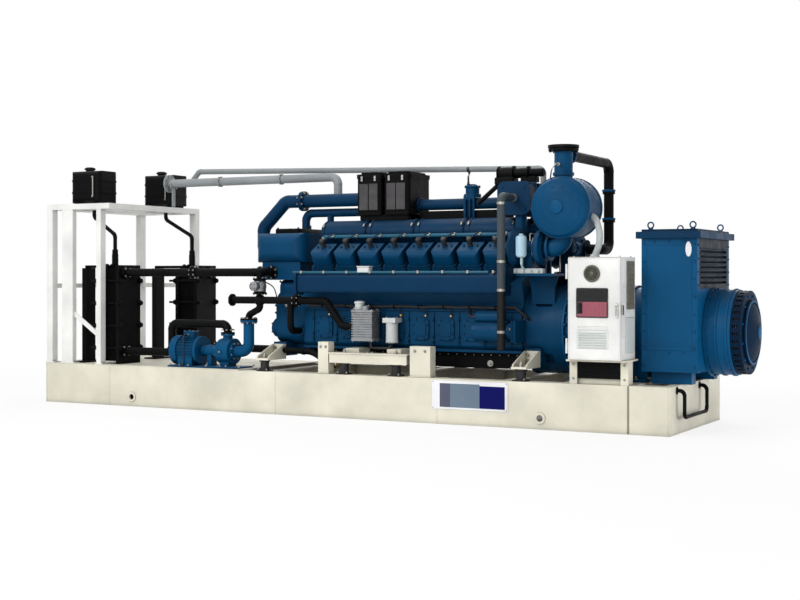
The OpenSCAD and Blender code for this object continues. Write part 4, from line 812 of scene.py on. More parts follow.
def oil_drain():
    """Drain line from the front cover, with sleeves, a stay and a brass cap, and the sump's plug."""
    drain = Shape("oil_drain_line", "black_paint")
    out = -CASE_Y - 70
    high, low = box("front_cover").z0 + 62, SKID_TOP + 75
    path = ((-200, -CASE_Y, high), (-200, out, high), (140, out, high - 10), (330, out, low),
            (410, out, low))
    drain.tube(rounded([(CASE_X0 + x, y, z) for x, y, z in path], 70), 30, 14)
    for x, z, r in ((20, high - 7, 36), (380, low, 38)):
        drain.ring(r, 29, 30, aim((CASE_X0 + x, out, z), X), 24)
    drain.bar((CASE_X0 + 40, CASE_X0 + 62), (out, 10 - CASE_Y), (high - 20, high + 10), 3)
    cap = Shape("oil_drain_cap", "brass_fitting")
    cap.lathe([(22, 0), (30, 4), (30, 22), (14, 28), (0, 28)], aim((CASE_X0 + 409, out, low), X))
    plug = Shape("sump_drain_plug", "plated_steel")
    place = aim((CASE_X1 - 350, 70 - CASE_Y, 545), -Y)
    plug.lathe([(30, 0), (30, 12), (0, 12)], place)
    plug.bolt(place @ at(0, 0, 12), 27, washer=False)


def front_end():
    """Bolts on the gear case, its side covers, the water pumps, the damper and the thermostat lid, whose
    black is partly painted shade between the loop pipe and the housing.
    """
    steel = Shape("damper_bolts", "plated_steel")
    bolts = Shape("gear_case_bolts", "blue_paint")
    face = FRONT_X + 50
    bolts.hexes(face, (-385, 385), [CRANK_Z - 100 + 75 * i for i in range(6)], -X)
    bolts.hexes(face, (-225, 225), [CRANK_Z - 225 + 60 * i for i in range(3)], -X)
    for x, half, z, count in ((face, 200, -237, 5), (face, 300, 444, 7), (FRONT_X, 170, 405, 5),
                              (FRONT_X, 170, 255, 5)):
        bolts.row((x, -half, CRANK_Z + z), (x, half, CRANK_Z + z), count, -X)
    for side in SIDES:
        bolts.bolts((FRONT_X, side * 305, CRANK_Z - 30), -X, 85, 6, 13)
        cover = (FRONT_X + 210, side * (CASE_Y - 10), CRANK_Z + 210)
        bolts.bolts(cover, Y * side, 72, 8, 14)
        steel.lathe([(30, 0), (30, 8), (22, 14), (0, 14)], aim(cover, Y * side))
    steel.bolts((box("crank_damper").x0, 0, CRANK_Z), -X, 45, 8, 19)
    bolts.bolts((THERMO_X - 17, -60, CRANK_Z + 730), -X, 78, 8, 15)
    # black thermostat lid: a real lid, and partly painted shade under the loop pipe above the housing
    lid = Shape("thermostat_lid", "black_paint")
    place = at(THERMOSTAT.mid.x, 0, THERMOSTAT.z1)
    lid.prism(round_outline(300, 560, 50), -1, 50, place, 10)
    lid.grid(place @ at(0, 0, 50), (-125, 125), (-240, 0, 240))
    lid.lathe([(14, 49), (14, 70), (20, 74), (20, 90), (12, 98), (0, 98)], place @ at(0, 180, 0), 16)


def plenum_details():
    """Conduit with a junction box along each inlet plenum, its light blue a painted highlight along the
    plenum's top edge, and the bolts of the plenums' ends.
    """
    ends = Shape("plenum_end_bolts", "deep_blue")
    boxes = Shape("plenum_junction_boxes", "pale_paint")
    clips = Shape("plenum_conduit_clips", "plated_steel")
    runs = Shape("plenum_conduits", "rail_and_highlight_blue")
    x0, x1, z = PLENUM.x0 - 30, PLENUM.x1 - 170, PLENUM.z1 - 8
    end_zs = (CRANK_Z + 350, CRANK_Z + 430, CRANK_Z + 510)
    for side in SIDES:
        y = side * (PLENUM.y1 - 35)
        runs.tube([(x0, y, z), (x1, y, z)], 12, 12)
        for i in range(9):
            clips.bar(pair(x0 + 100 + i * 260, 12), pair(y, 18), (z - 12, z + 15), 3)
        boxes.bar((370, 500), (y - side * 55, y + side * 22), (z - 2, z + 52), 6)
        boxes.bar((365, 505), (y - side * 60, y + side * 27), (z + 50, z + 60), 3)
        for x, out in ((PLENUM.x0, -X), (PLENUM.x1, X)):
            ends.hexes(x, pair(side * 635, 55), end_zs, out, 14)


def manifold_clamps():
    """Band clamps with their screws round the joints of the exhaust logs."""
    screws = Shape("manifold_band_screws", "plated_steel")
    bands = Shape("manifold_bands", "deep_blue")
    for side, k in product(SIDES, range(CYLINDERS // 2)):
        start = FIRST_X + (2 * k - 0.5) * PITCH
        for x in (start + 26, start + 2 * PITCH - 48):
            bands.ring(MANIFOLD_R + 6, MANIFOLD_R - 1, 22, aim((x, side * MANIFOLD_Y, MANIFOLD_Z), X), 40)
            lug = at(x + 11, side * MANIFOLD_Y, MANIFOLD_Z) @ spin(-side * radians(58), "X")
            lug = lug @ at(0, 0, MANIFOLD_R + 6)
            screws.slab((-9, -16, -2), (9, 16, 14), 2, lug)
            screws.bolt(lug @ at(0, 16, 6) @ spin(-pi / 2, "X"), 10, washer=False)


def turbo_details():
    """Each turbocharger's clamps, bolts, oil lines and actuator, whose pale blue can is a painted highlight,
    and the modules on its shelf.
    """
    cans = Shape("turbo_actuators", "actuator_highlight_blue")
    lines, bands = shapes("plated_steel", "turbo_oil_lines", "turbo_clamps")
    bolts = Shape("turbo_bolts", "blue_paint")
    modules = Shape("shelf_modules", "conduit_grey")
    for side in SIDES:
        def near(*offsets):
            return [vec(TURBO.x + x, side * (TURBO.y + y), TURBO.z + z) for x, y, z in offsets]

        for x, r in ((-78, 94), (55, 112)):
            bands.ring(r, r - 30, 14, aim(*near((x, 0, 0)), X), 32)
        bolts.bolts(*near((165, 0, 0)), X, 98, 8, 14)
        bolts.bolts(*near((-200, 0, 0)), -X, 80, 8, 13)
        lines.tube(rounded(near((0, 0, 60), (0, 0, 130), (-20, -160, 130), (-20, -160, -220)), 30), 9, 8)
        lines.tube(rounded(near((-30, 60, 0), (-30, 110, 0), (-30, 110, -236)), 30), 14, 10)
        cans.lathe([(0, 0), (30, 0), (46, 12), (50, 30), (50, 175), (44, 192), (22, 200), (22, 215),
                    (0, 215)], at(*near((0, 205, -90))[0]), 28)
        cans.tube(near((0, 205, -86), (0, 205, -150), (0, 95, -235)), 9, 8)
        modules.slab(*near((-105, 75, -236), (185, 145, -190)), 6)
        for k in range(4):
            modules.lathe([(12, 0), (12, 14), (8, 18), (8, 30), (0, 30)],
                          aim(*near((-70 + k * 72, 145, -214)), Y * side), 12)


def cooler_details():
    """Joint flanges, bolts and vents of the charge cooler, and the bolts of its duct."""
    bolts = Shape("charge_cooler_bolts", "blue_paint")
    flanges = Shape("charge_cooler_flanges", "deep_blue")
    z0, z1 = MANIFOLD_Z + MANIFOLD_R + 8, COOLER.z1
    for side in SIDES:
        out = Y * side
        y = side * (COOLER.y1 - 150)
        flanges.bar((COOLER.x0 - 4, COOLER.x1 + 4), pair(y, 11), (z0 + 4, z1 - 2), 6)
        inner = y - side * 11
        for x in (COOLER.x0 + 12, COOLER.x1 - 12):
            bolts.row((x, inner, z0 + 40), (x, inner, z1 - 40), 6, -out, 14)
        bolts.row((COOLER.x0 + 50, inner, z1 - 10), (COOLER.x1 - 50, inner, z1 - 10), 4, -out, 12,
                  washer=False)
        xs = (COOLER.x0 + 55, COOLER.x1 - 55)
        bolts.hexes(xs, side * COOLER.y1, (z0 + 55, z1 - 55), out)
        vent = at(COOLER.mid.x, side * 250, z1 - 20)
        bolts.lathe([(10, 0), (10, 20), (16, 22), (16, 36), (0, 36)], vent, 12)
    duct_x = FILTER_BOX.x1 + 10
    bolts.rings(((COOLER.x0 - 18, 0, DUCT_Z), -X, 65, 8, 12), ((duct_x, 0, DUCT_Z), X, 65, 8, 12))


def gas_train():
    """Gas valves and mixer beside the charge cooler, on a strut."""
    train = Shape("gas_valve_train", "black_paint")
    x, top = COOLER.x0, COOLER.z1
    train.tube([(1470, -300, top - 190), (x - 20, -280, top + 30)], 22, 12)
    train.bar(pair(x, 100), (-330, -200), (top - 20, top + 55), 12)
    mixer = aim((x - 85, -265, top + 90), X)
    train.lathe([(50, 0), (72, 10), (72, 20), (60, 26), (60, 150), (72, 156), (72, 172), (48, 180), (48, 300),
                 (64, 306), (64, 322), (40, 330), (40, 460), (30, 470)], mixer, 28)
    train.bolts(mixer @ vec(0, 0, 10), -X, 60, 6, 10)
    train.bar((x + 160, x + 320), (-310, -220), (top - 2, top + 55), 8)


def filter_details():
    """Element panels in their frames, latches and top bolts of the two air filter housings."""
    latches = Shape("filter_latches", "plated_steel")
    frames = Shape("filter_panel_frames", "black_paint")
    panels = Shape("filter_panels", "filter_grey")
    unit_l = (FILTER_BOX.size.x - 16 - 20) / 2
    half, rim = unit_l / 2 - 40, 12
    z0, z1 = FILTER_BOX.z0 + 100, FILTER_BOX.z1 - 115
    for side, x in product(SIDES, (FILTER_BOX.x0 + 8 + unit_l / 2, FILTER_BOX.x1 - 8 - unit_l / 2)):
        def proud(inner, outer):
            return side * (FILTER_BOX.y1 - 8 + inner), side * (FILTER_BOX.y1 - 8 + outer)

        x0, x1 = pair(x, half)
        panels.bar((x0, x1), proud(-2, 4), (z0, z1))
        for xs, zs in (((x0 - rim, x1 + rim), (z0 - rim, z0)), ((x0 - rim, x1 + rim), (z1, z1 + rim)),
                       ((x0 - rim, x0), (z0, z1)), ((x1, x1 + rim), (z0, z1)), (pair(x, 5), (z0, z1))):
            frames.bar(xs, proud(-2, 7), zs)
        for dx in (-75, 75):
            latches.bar(pair(x + dx, 11), proud(1, 10), (FILTER_BOX.z1 - 92, FILTER_BOX.z1 - 40))
            latches.tube(spots(pair(x + dx, 12), side * (FILTER_BOX.y1 + 1), FILTER_BOX.z1 - 60), 4, 8)
        latches.hexes(pair(x, 60), side * 120, FILTER_BOX.z1, Z, 13)


def exhaust_details():
    """Bolts of the outlet pipework, bands of the drum and the pipes, and the exhaust probe."""
    probes = Shape("exhaust_probe", "plated_steel")
    bands, bolts = shapes("alternator_blue", "exhaust_bands", "exhaust_bolts")
    far = box("exhaust_crossover")
    drum_x, drum_z = RISER.x + 35, TURBO.z + 360
    bolts.rings(((RISER.x, far.y0 - 18, TEE_Z), -Y, 64, 8, 14), ((RISER.x, far.y0 + 18, TEE_Z), Y, 64, 8, 14),
                ((far.x0 + 18, TURBO.y, TURBO.z), X, 80, 8, 14),
                ((RISER_BOX.x0 + 20, RISER.y, TURBO.z), X, 104, 8, 17),
                ((drum_x, RISER_BOX.y0 + 30, drum_z), -Y, 185, 12, 15))
    for y in (RISER.y - 170, RISER.y + 140):
        bands.ring(281, 274, 26, aim((drum_x, y, drum_z), Y), 64)
    hub = aim((drum_x, RISER_BOX.y0 + 4, drum_z), -Y)
    bands.lathe([(0, 0), (60, 0), (60, 10), (50, 14), (0, 14)], hub, 32)
    for z in (TURBO.z + 294, TURBO.z + 574):
        bands.ring(66, 60, 20, at(RISER.x, far.y1 - 62, z), 32)
    probe = at(RISER.x, RISER.y, TEE_Z)
    probes.lathe([(10, -10), (10, 30), (16, 32), (16, 50), (7, 55), (7, 110), (0, 110)],
                 aim(probe @ vec(0, -80, -100), -Y), 14)
    lead = ((0, -190, -100), (-30, -215, -160), (-90, -100, -260), (-130, 0, -330))
    probes.tube(spline([probe @ vec(*p) for p in lead]), 6, 8)
    collar = Shape("exhaust_collar", "black_paint")
    flange = at(RISER.x, RISER.y, RISER_BOX.z1 - 52)
    collar.ring(138, 84, 22, flange, 44)
    collar.bolts(flange.translation, -Z, 120, 8, 19, washer=False)


def panel_conduit():
    """Flexible conduit from the exhaust drum down to the panel's roof."""
    pale = Shape("panel_flex_conduit", "conduit_grey")
    foot = vec(SHELL.x0 + 150, SHELL.y1 - 50, SHELL.z1)
    start = vec(RISER.x + 240, RISER.y - 45, TURBO.z + 305)
    pale.tube(spline([start, start + vec(85, -8, -55), foot + vec(36, 10, 240),
                      foot + vec(36, 4, 130), foot + Z * 25], 8), 30, 14)
    pale.ring(40, 29, 26, at(*foot))


def valley_details():
    """Cable tray in the valley under the charge air duct, and the tall vent fitting on the duct."""
    line = Shape("duct_vent_line", "cable_black")
    body = Shape("duct_fitting", "blue_paint")
    tray = Shape("valley_tray", "black_paint")
    x0, x1 = FILTER_BOX.x1 + 20, COOLER.x0 - 60
    tray.bar((x0, x1), (-55, 55), (DUCT_Z - 170, DUCT_Z - 76), 4)
    for y in range(-44, 0, 10):
        tray.tube([(x0 - 30, y, DUCT_Z - 71), (x1 + 30, y, DUCT_Z - 71)], 6.5, 8)
    x = x0 + 553.5
    body.lathe([(85, 60), (85, 92), (68, 98), (68, 150), (80, 156), (80, 172), (45, 180), (44.5, 186)],
               at(x, 0, DUCT_Z), 32)
    body.bolts((x, 0, DUCT_Z + 172), Z, 68, 6, 12)
    body.bar(pair(x, 60), (-86, -74), (DUCT_Z - 170, DUCT_Z + 75), 4)
    for rib in (x - 24, x + 24):
        body.bar(pair(rib, 6), (-120, -78), (DUCT_Z - 150, DUCT_Z + 40), 3)
    vent = vec(x - 230, 410, DUCT_Z + 372)
    line.tube(rounded([(x - 45, 0, DUCT_Z + 170), (x - 45, 0, DUCT_Z + 270), vent - Z * 60, vent], 80), 10, 9)
    line.ring(32, 26.5, 30, aim(vent - X * 15, X), 24)
    line.lathe([(16, 0), (16, 30), (12, 34), (12, 50)], at(x - 45, 0, DUCT_Z + 165), 14)


def oil_details():
    """Bolts, fitting and hose of the oil cooler, and ribs and bolts of the oil filters."""
    hoses = Shape("oil_hose", "cable_black")
    ribs = Shape("oil_filter_ribs", "filter_white")
    bolts = Shape("oil_side_bolts", "plated_steel")
    cooler = box("oil_cooler")
    xs, ys = (cooler.x0 + 22, cooler.x1 - 22), (cooler.y0 + 22, cooler.y1 - 67)
    bolts.hexes(xs, ys, cooler.z1 - 39, Z, 14)
    bolts.hexes(xs, ys, cooler.z0, -Z, 14)
    mid_y = cooler.y0 + 87
    bolts.bolts((cooler.mid.x, mid_y, cooler.z1), Z, 32, 4, 10)
    filters = box("oil_filters")
    starters = box("starter_motors")
    for side in SIDES:
        y = side * (filters.y1 - 59)
        place = at(filters.mid.x, y - side * 6, filters.z0)
        for k in range(12):
            ribs.slab((45, -4, 1), (60.5, 4, 28), 1, place @ spin(k * pi / 6))
        ribs.ring(61.5, 58, 12, place @ at(0, 0, filters.size.z - 62), 32)
        bolts.hexes(pair(filters.mid.x, 55), y, filters.z1, Z, 14)
        y = side * (CASE_Y + 115)
        bolts.bolts((starters.x0, y, CRANK_Z - 10), -X, 55, 4, 13)
        bolts.bolts((starters.x1 - 18, y, CRANK_Z - 10), -X, 105, 3, 19, phase=0.1)
        bolts.hexes(starters.x0 + 57, pair(y + side * 30, 18), CRANK_Z + 125, -X, 12, thread=10)
    low = cooler.z0 - 70
    hoses.tube(rounded([(cooler.mid.x + 60, mid_y, cooler.z0 + 2), (cooler.mid.x + 60, mid_y, low),
                        (filters.mid.x, mid_y, low), (filters.mid.x, -CASE_Y - 90, filters.z0 + 5)],
                       60), 16, 12)
    fitting = Shape("oil_cooler_fitting", "pale_paint")
    fitting.lathe([(56, 0), (60, 6), (60, 20), (46, 26), (46, 60), (52, 64), (52, 82), (30, 90), (0, 90)],
                  at(cooler.x0 + 62, mid_y, cooler.z1 - 40), 28)


def starter_cables():
    """Two cables from each starter motor's posts up to the crankcase."""
    cables = Shape("starter_cables", "cable_black")
    x = box("starter_motors").x0 + 60
    for side, dy in product(SIDES, (-18, 18)):
        post = vec(x, side * (CASE_Y + 145) + dy, CRANK_Z + 125)
        cables.tube(spline([post - X * 12, post - X * 60, post + vec(-100, -side * 30, 30),
                            (x - 120, side * (CASE_Y + 55), CRANK_Z + 190)]), 9, 9)


def looms():
    """Wiring harness in clips along the crankcase on both sides, with a branch at each cylinder."""
    sensors = Shape("knock_sensors", "brass_fitting")
    clips = Shape("loom_clips", "black_paint")
    loom = Shape("engine_looms", "cable_black")
    y, z = CASE_Y + 50, CRANK_Z + 205
    rng = random.Random(4)
    for side in SIDES:
        path = []
        x = CASE_X0 + 80
        while x < CASE_X1 - 50:
            path.append((x, side * (y + rng.uniform(-4, 4)), z + rng.uniform(-4, 4)))
            x += 140
        path += [(CASE_X1 - 20, side * y, z - 20), (CASE_X1 + 50, side * (y - 25), z - 80),
                 (CASE_X1 + 70, side * (CASE_Y - 35), z - 120)]
        loom.tube(spline(path, 4), 13, 9)
        for x in CYLINDER_XS:
            clips.bar(pair(x, 8), (side * (CASE_Y - 20), side * (y + 16)), pair(z, 18))
            loom.tube(spline([(x + 30, side * y, z), (x + 60, side * (y - 5), z - 30),
                              (x + 65, side * (CASE_Y + 20), z - 75)], 5), 5, 7)
            sensors.lathe([(12, 0), (12, 12), (9, 16), (9, 34), (0, 34)],
                          aim((x + 65, side * CASE_Y, z - 85), Y * side), 12)


# ---------------------------------------------------------------- pipes, pump and cooling module


def pipe_flange_bolts():
    """Hex bolts on every bolted flange of the pipework, with nuts where its other side shows."""
    bolts = Shape("pipe_flange_bolts", "plated_steel")
    through = (
        # centre, axis, bolt circle, bolts, half the pair's thickness, size across flats
        ((NEAR_X + 920, PUMP_Y, TOP_Z), X, 59, 8, 20, 17),
        ((CASE_X0 + 13, PUMP_Y, HEADER_Z), X, 51, 6, 20, 15),
        ((THERMO_X - 490, FAR_Y + 75, TOP_Z), X, 59, 8, 20, 17),
        ((CASE_X0 - 240, -60, 2150), X, 88, 8, 20, 19),
        ((VALVE_X - 135, PUMP_Y, 920), Z, 75, 8, 18, 17),
        ((NEAR_X + 1345, PUMP_Y, 794.5), Z, 60, 8, 18, 17),
    )
    for centre, axis, radius, count, half, across in through:
        bolts.bolts(Vector(centre) + axis * half, axis, radius, count, across)
        bolts.bolts(Vector(centre) - axis * half, -axis, radius, count, across, thread=6)
    bolts.rings(
        ((THERMO_X - 168, PUMP_Y, HEADER_Z), -X, 51, 6, 15),
        ((VALVE_X, PUMP_Y, HEADER_Z + 61), -Z, 61, 6, 14),
        ((VALVE_X, PUMP_Y, HEADER_Z + 221), Z, 61, 6, 14),
        ((box("coolant_pipes_near").x1 - 16, PUMP_Y, CRANK_Z + 10), -X, 44, 4, 11),
        ((VALVE_X, 43 - CASE_Y, TOP_Z), -Y, 56, 6, 14),
        ((THERMO_X - 18, 280, TOP_Z), -X, 61, 6, 14))
    for x, y in ((NEAR_X, PUMP_Y), (FAR_X, FAR_Y + 75)):
        bolts.rings(((x + 38, y, TOP_Z), X, 54.6, 4, 15), ((x + 20, y, PLATE_Z + 110), X, 56, 4, 15))


def control_valve():
    """Body, actuator and cable of the control valve between the two coolant pipes."""
    valve = Shape("control_valve_body", "cast_aluminium")
    z = (TOP_Z + HEADER_Z) / 2
    valve.lathe([(50.5, -62), (62.5, -50), (62.5, -20), (66.5, -16), (66.5, 16), (62.5, 20), (62.5, 50),
                 (50.5, 62)], at(VALVE_X, PUMP_Y, z), 36)
    arm = aim((VALVE_X, PUMP_Y, z), -Y)
    valve.lathe([(41, 50), (41, 108), (46, 112), (46, 124), (38, 130), (0, 130)], arm, 28)
    lead = Shape("control_valve_lead", "cable_black")
    lead.bolts((VALVE_X, PUMP_Y - 128.5, z), -Y, 30, 4, 9)
    lead.tube(spline([(VALVE_X + 30, PUMP_Y - 80, z + 30), (VALVE_X + 80, PUMP_Y - 70, z + 50),
                      (VALVE_X + 150, PUMP_Y + 20, z - 10), (FRONT_X + 140, -CASE_Y - 60, CRANK_Z + 250),
                      (FRONT_X + 150, -CASE_Y - 5, CRANK_Z + 235)]), 6, 8)


def exchanger_details():
    """Hex nuts with washers on the tie bolts, and hanger rollers of the heat exchangers."""
    rollers, nuts = shapes("black_paint", "exchanger_rollers", "exchanger_nuts")
    for x, y in ((NEAR_X, NEAR_Y), (FAR_X, FAR_Y)):
        back = x - PACK_L - 2 * END_PLATE
        zs = [PLATE_Z + z for z in (140, 380, 620, 860)]
        nuts.hexes(x, pair(y, 166), zs, X, 46, thread=6)
        nuts.hexes(back, pair(y, 166), zs, -X, 46)
        rollers.bar((back + 4, back + END_PLATE - 4), pair(y, 45), (TOP_Z + 20, TOP_Z + 46), 4)
        for roller_y in pair(y, 40):
            rollers.lathe([(22, -12), (26, -8), (26, 8), (22, 12)],
                          aim((back + END_PLATE / 2, roller_y, TOP_Z + 70), Y))


def pump_motor_details(bolts):
    """Fan grille, terminal box lid, gland and cable of the pump's motor, and its coupling guard."""
    guard, lid, grille = shapes("alternator_blue", "coupling_guard_ribs", "pump_terminal_lid",
                                "pump_fan_grille")
    cable = Shape("pump_conduit", "cable_black")
    face = aim((PUMP_MOTOR.x0 - 2, PUMP_Y, PUMP_Z), -X)
    for r in range(30, 150, 20):
        grille.ring(r + 2, r - 2, 4, face, 36)
    for k in range(8):
        grille.slab((12, -2, -1), (146, 2, 3), 0.5, face @ spin(k * pi / 4))
    grille.lathe([(16, -1), (16, 3), (0, 3)], face)
    x, top = PUMP_MOTOR.x0 + 180, PUMP_MOTOR.z1
    lid.bar(pair(x, 64), pair(PUMP_Y, 54), (top - 12, top + 10), 6)
    bolts.hexes(pair(x, 54), pair(PUMP_Y, 44), top + 10, Z, 9)
    gland = aim((x, PUMP_Y - 50, top - 30), -Y)
    bolts.lathe([(13, 0), (13, 10), (10, 14), (10, 28), (7, 32)], gland, 12)
    y, low = PUMP_Y - 135, DECK_TOP + 70
    cable.tube(rounded([(x, PUMP_Y - 70, top - 30), (x, y, top - 30), (x, y, low), (x, y - 15, low - 40),
                        (x, y - 15, low - 64)], 35), 8.5, 9)
    for k in range(5):
        guard.ring(57.5, 54.5, 6, aim((PUMP_MOTOR.x1 + 10 + k * 13, PUMP_Y, PUMP_Z), X))


def pump_details():
    """Motor's fittings, casing bolts and bed bolts of the pump."""
    bolts = Shape("pump_bolts", "plated_steel")
    pump_motor_details(bolts)
    bolts.rings(((PUMP_X - 24, PUMP_Y, PUMP_Z), -X, 94, 8, 14),
                ((PUMP_X + 174, PUMP_Y, PUMP_Z), X, 81.5, 8, 13))
    bed, z = box("pump_casing"), DECK_TOP + 16
    for xs, half, across in (((PUMP_MOTOR.x0 + 135, PUMP_MOTOR.x0 + 245), 143, 15),
                             ((PUMP_X - 125, PUMP_X + 40, PUMP_X + 110), 88, 15),
                             ((bed.x0 + 30, bed.x0 + 480, bed.x1 - 120), 135, 17)):
        bolts.hexes(xs, pair(PUMP_Y, half), z, Z, across, thread=6)
    bolts.bolt(aim((PUMP_X + 75, PUMP_Y - 149, PUMP_Z), -Y), 20, washer=False)


def cooling_frame_details():
    """Foot bolts of the posts, and the bands, caps, sight glasses and bolts of the header tanks."""
    straps = Shape("tank_bands", "black_paint")
    caps = Shape("tank_caps", "cable_black")
    glass, bolts = shapes("plated_steel", "tank_sight_glasses", "frame_bolts")
    posts, tanks = box("frame_posts"), box("header_tanks")
    left, right = posts.x0 + 60, posts.x1 - 60
    foot_y, foot_z = HALF_W - 30, DECK_TOP + 12
    for x, y, half in ((left, -foot_y, 50), (right - 105, -foot_y, 50), (left, foot_y, 50),
                       (right, foot_y, 50), (left + 250, -foot_y, 85)):
        bolts.hexes(pair(x, half), y, foot_z, Z, 15, thread=6)
    tank_l, tank_w = 400, 330
    z0 = tanks.z0
    for x, y in ((tanks.x0 + tank_l / 2, tanks.y0 + tank_w / 2),
                 (tanks.x1 - tank_l / 2, tanks.y1 - tank_w / 2)):
        cap = at(x - 60, y, tanks.z1 - 22)
        for k in range(16):
            caps.slab((55.5, -4, 2), (60.5, 4, 20), 1, cap @ spin(k * pi / 8))
        caps.lathe([(42, 20), (46, 26), (40, 30), (0, 32)], cap, 24)
        near = y - tank_w / 2
        for z in (z0 + 90, z0 + 300):
            glass.lathe([(12, 0), (12, 24), (0, 24)], aim((x + 130, near + 2, z), -Y), 14)
        glass.tube([(x + 130, near - 13, z0 + 85), (x + 130, near - 13, z0 + 305)], 7)
        for z in (z0 + 125, z0 + 255):
            straps.prism(round_outline(tank_l + 10, tank_w + 10, 62, 6), z, z + 18, at(x, y, 0))
        bolts.hexes(pair(x, 137), pair(y, tank_w / 2 - 60), z0, -Z, 13)


def overhead_details():
    """Flange bolts, a U-bolt and hose clamps of the overhead pipes, and the breather's stay."""
    clamps, bolts = shapes("plated_steel", "breather_clamps", "overhead_bolts")
    y, z = 200, OVERHEAD.z1 - 171
    for x in (GAS_X0 + 700, GAS_X0 + 1500):
        bolts.bolts((x + 20, y, z), X, 51.5, 8, 9)
        bolts.bolts((x, y, z), -X, 51.5, 8, 9)
    bolts.bolts((COOLER.x0 + 100, 410, COOLER.z1 + 16), Z, 40, 6, 11)
    stay = Shape("pipe_stays", "plated_steel")
    u_bolt = ((-50, -55), (-50, 0), (0, 50), (50, 0), (50, -55))
    stay.tube([(GAS_X0 + 66, y + dy, z + dz) for dy, dz in u_bolt], 5, 8)
    x, y = COOLER.x0 + 170, -HALF_W + 28
    stay.bar(pair(x, 12), (y + 55, -690), (CRANK_Z + 620, CRANK_Z + 650))
    for z in (2020, CRANK_Z + 620, CRANK_Z + 360, CRANK_Z - 20):
        clamps.ring(42.5, 38, 24, at(x, y, z), 32)
        clamps.bar(pair(x, 10), (y + 36, y + 62), (z + 2, z + 22), 3)
        clamps.bolt(aim((x + 10, y + 50, z + 12), X), 10, washer=False)


# ---------------------------------------------------------------- skid and mounts


def mount_details():
    """Bolts of the engine brackets, the rubber mounts, the beams and the platform blocks."""
    plates = Shape("block_base_plates", "cream_paint")
    bolts = Shape("mount_bolts", "plated_steel")
    mounts = box("engine_mounts")
    beam_x0, beam_x1 = CASE_X0 + 500, CASE_X0 + 1350
    brackets, beams = (mounts.x0 + 75, mounts.x1 - 75), (beam_x0 + 140, beam_x1 - 140)
    blocks = ((beam_x0 - 125, beam_x0 - 10.3, 310), (beam_x1 + 35, beam_x1 + 250, 290))
    for side in SIDES:
        y = side * MOUNT_Y
        for x in brackets:
            bolts.hexes(pair(x, 40), side * (CASE_Y + 35.3), (PAD_Z + 55, PAD_Z + 115), Y * side, 24)
        bolts.hexes(brackets, y, PAD_Z + 20, Z, 36, thread=20)
        bolts.hexes(beams, y, PAD_Z + 100, Z, 30, thread=16)
        bolts.hexes((beam_x0 + 400, beam_x0 + 450), y, PAD_Z + 100, Z, 19)
        for x in brackets + beams:
            bolts.hexes(pair(x, 50), pair(y, 46), SKID_TOP + 12.5, Z, 15, thread=5)
        for x0, x1, height in blocks:
            plates.bar((x0 - 12, x1 + 9), pair(y, 67), (SKID_TOP, SKID_TOP + 12), 3)
            xs = (x0 * 0.75 + x1 * 0.25, x0 * 0.25 + x1 * 0.75)
            bolts.hexes(xs, side * (MOUNT_Y + 55), SKID_TOP + height * 0.85, Y * side, 19)


def skid_details():
    """Weld seams, joint strips painted brown as the shade of the rail joint, lifting-hole rings of the rails,
    and the drag loop's pads.
    """
    joint = Shape("skid_joint_strips", "joint_shade_brown")
    pads = Shape("drag_loop_pads", "black_paint")
    rings, seams = shapes("cream_paint", "lifting_hole_rings", "skid_weld_seams")
    for side in SIDES:
        def strip(shape, x, half, proud, z, chamfer):
            ys = (side * (HALF_W - 1), side * (HALF_W + proud))
            shape.bar(pair(x, half), ys, (z, SKID_TOP - z), chamfer)

        for x in SEAM_XS:
            strip(seams, x, 4, 2.5, 4, 1.5)
        for x in pair(0, HALF_L - 14):
            strip(seams, x, 3, 2, 4, 1)
        # painted shade: a brown strip at the rail joint
        strip(joint, RAIL_JOINT_X, 9, 3, 3, 1.5)
        for x in pair(0, LIFTING_X):
            rings.ring(52, 30, 10, aim((x, side * HALF_W, 100), Y * side), 36)
    loop = box("drag_loop")
    for y in (loop.y0 + 18, loop.y1 - 17):
        pads.lathe([(34, 0), (34, 6), (22, 12)], aim((HALF_L, y, loop.z1 - 18), X), 24)


def sign_plate():
    """Bare sign plate in three colours on the near rail, riveted at its corners."""
    x0, x1, z0, z1 = HALF_L - 2270, HALF_L - 1500, 140, 405
    rivets = Shape("sign_rivets", "plated_steel")
    rim = Shape("sign_rim", "sign_white")
    rim.bar((x0, x1), (1 - HALF_W, -6 - HALF_W), (z0, z1))
    for tone, start, end, top in (("navy", 490, 741, 40), ("grey", 190, 490, 26), ("plum", 84, 190, 26)):
        field = Shape(f"sign_{tone}_field", f"sign_{tone}")
        field.bar((x0 + start, x0 + end), (-5.5 - HALF_W, -7.5 - HALF_W), (z0 + 20, z1 - top), 0.7)
    for corner in spots((x0 + 14, x1 - 14), -6 - HALF_W, (z0 + 12, z1 - 12)):
        rivets.lathe([(6, 0), (5, 2), (2, 4), (0, 4)], aim(corner, -Y), 12)


# ---------------------------------------------------------------- alternator


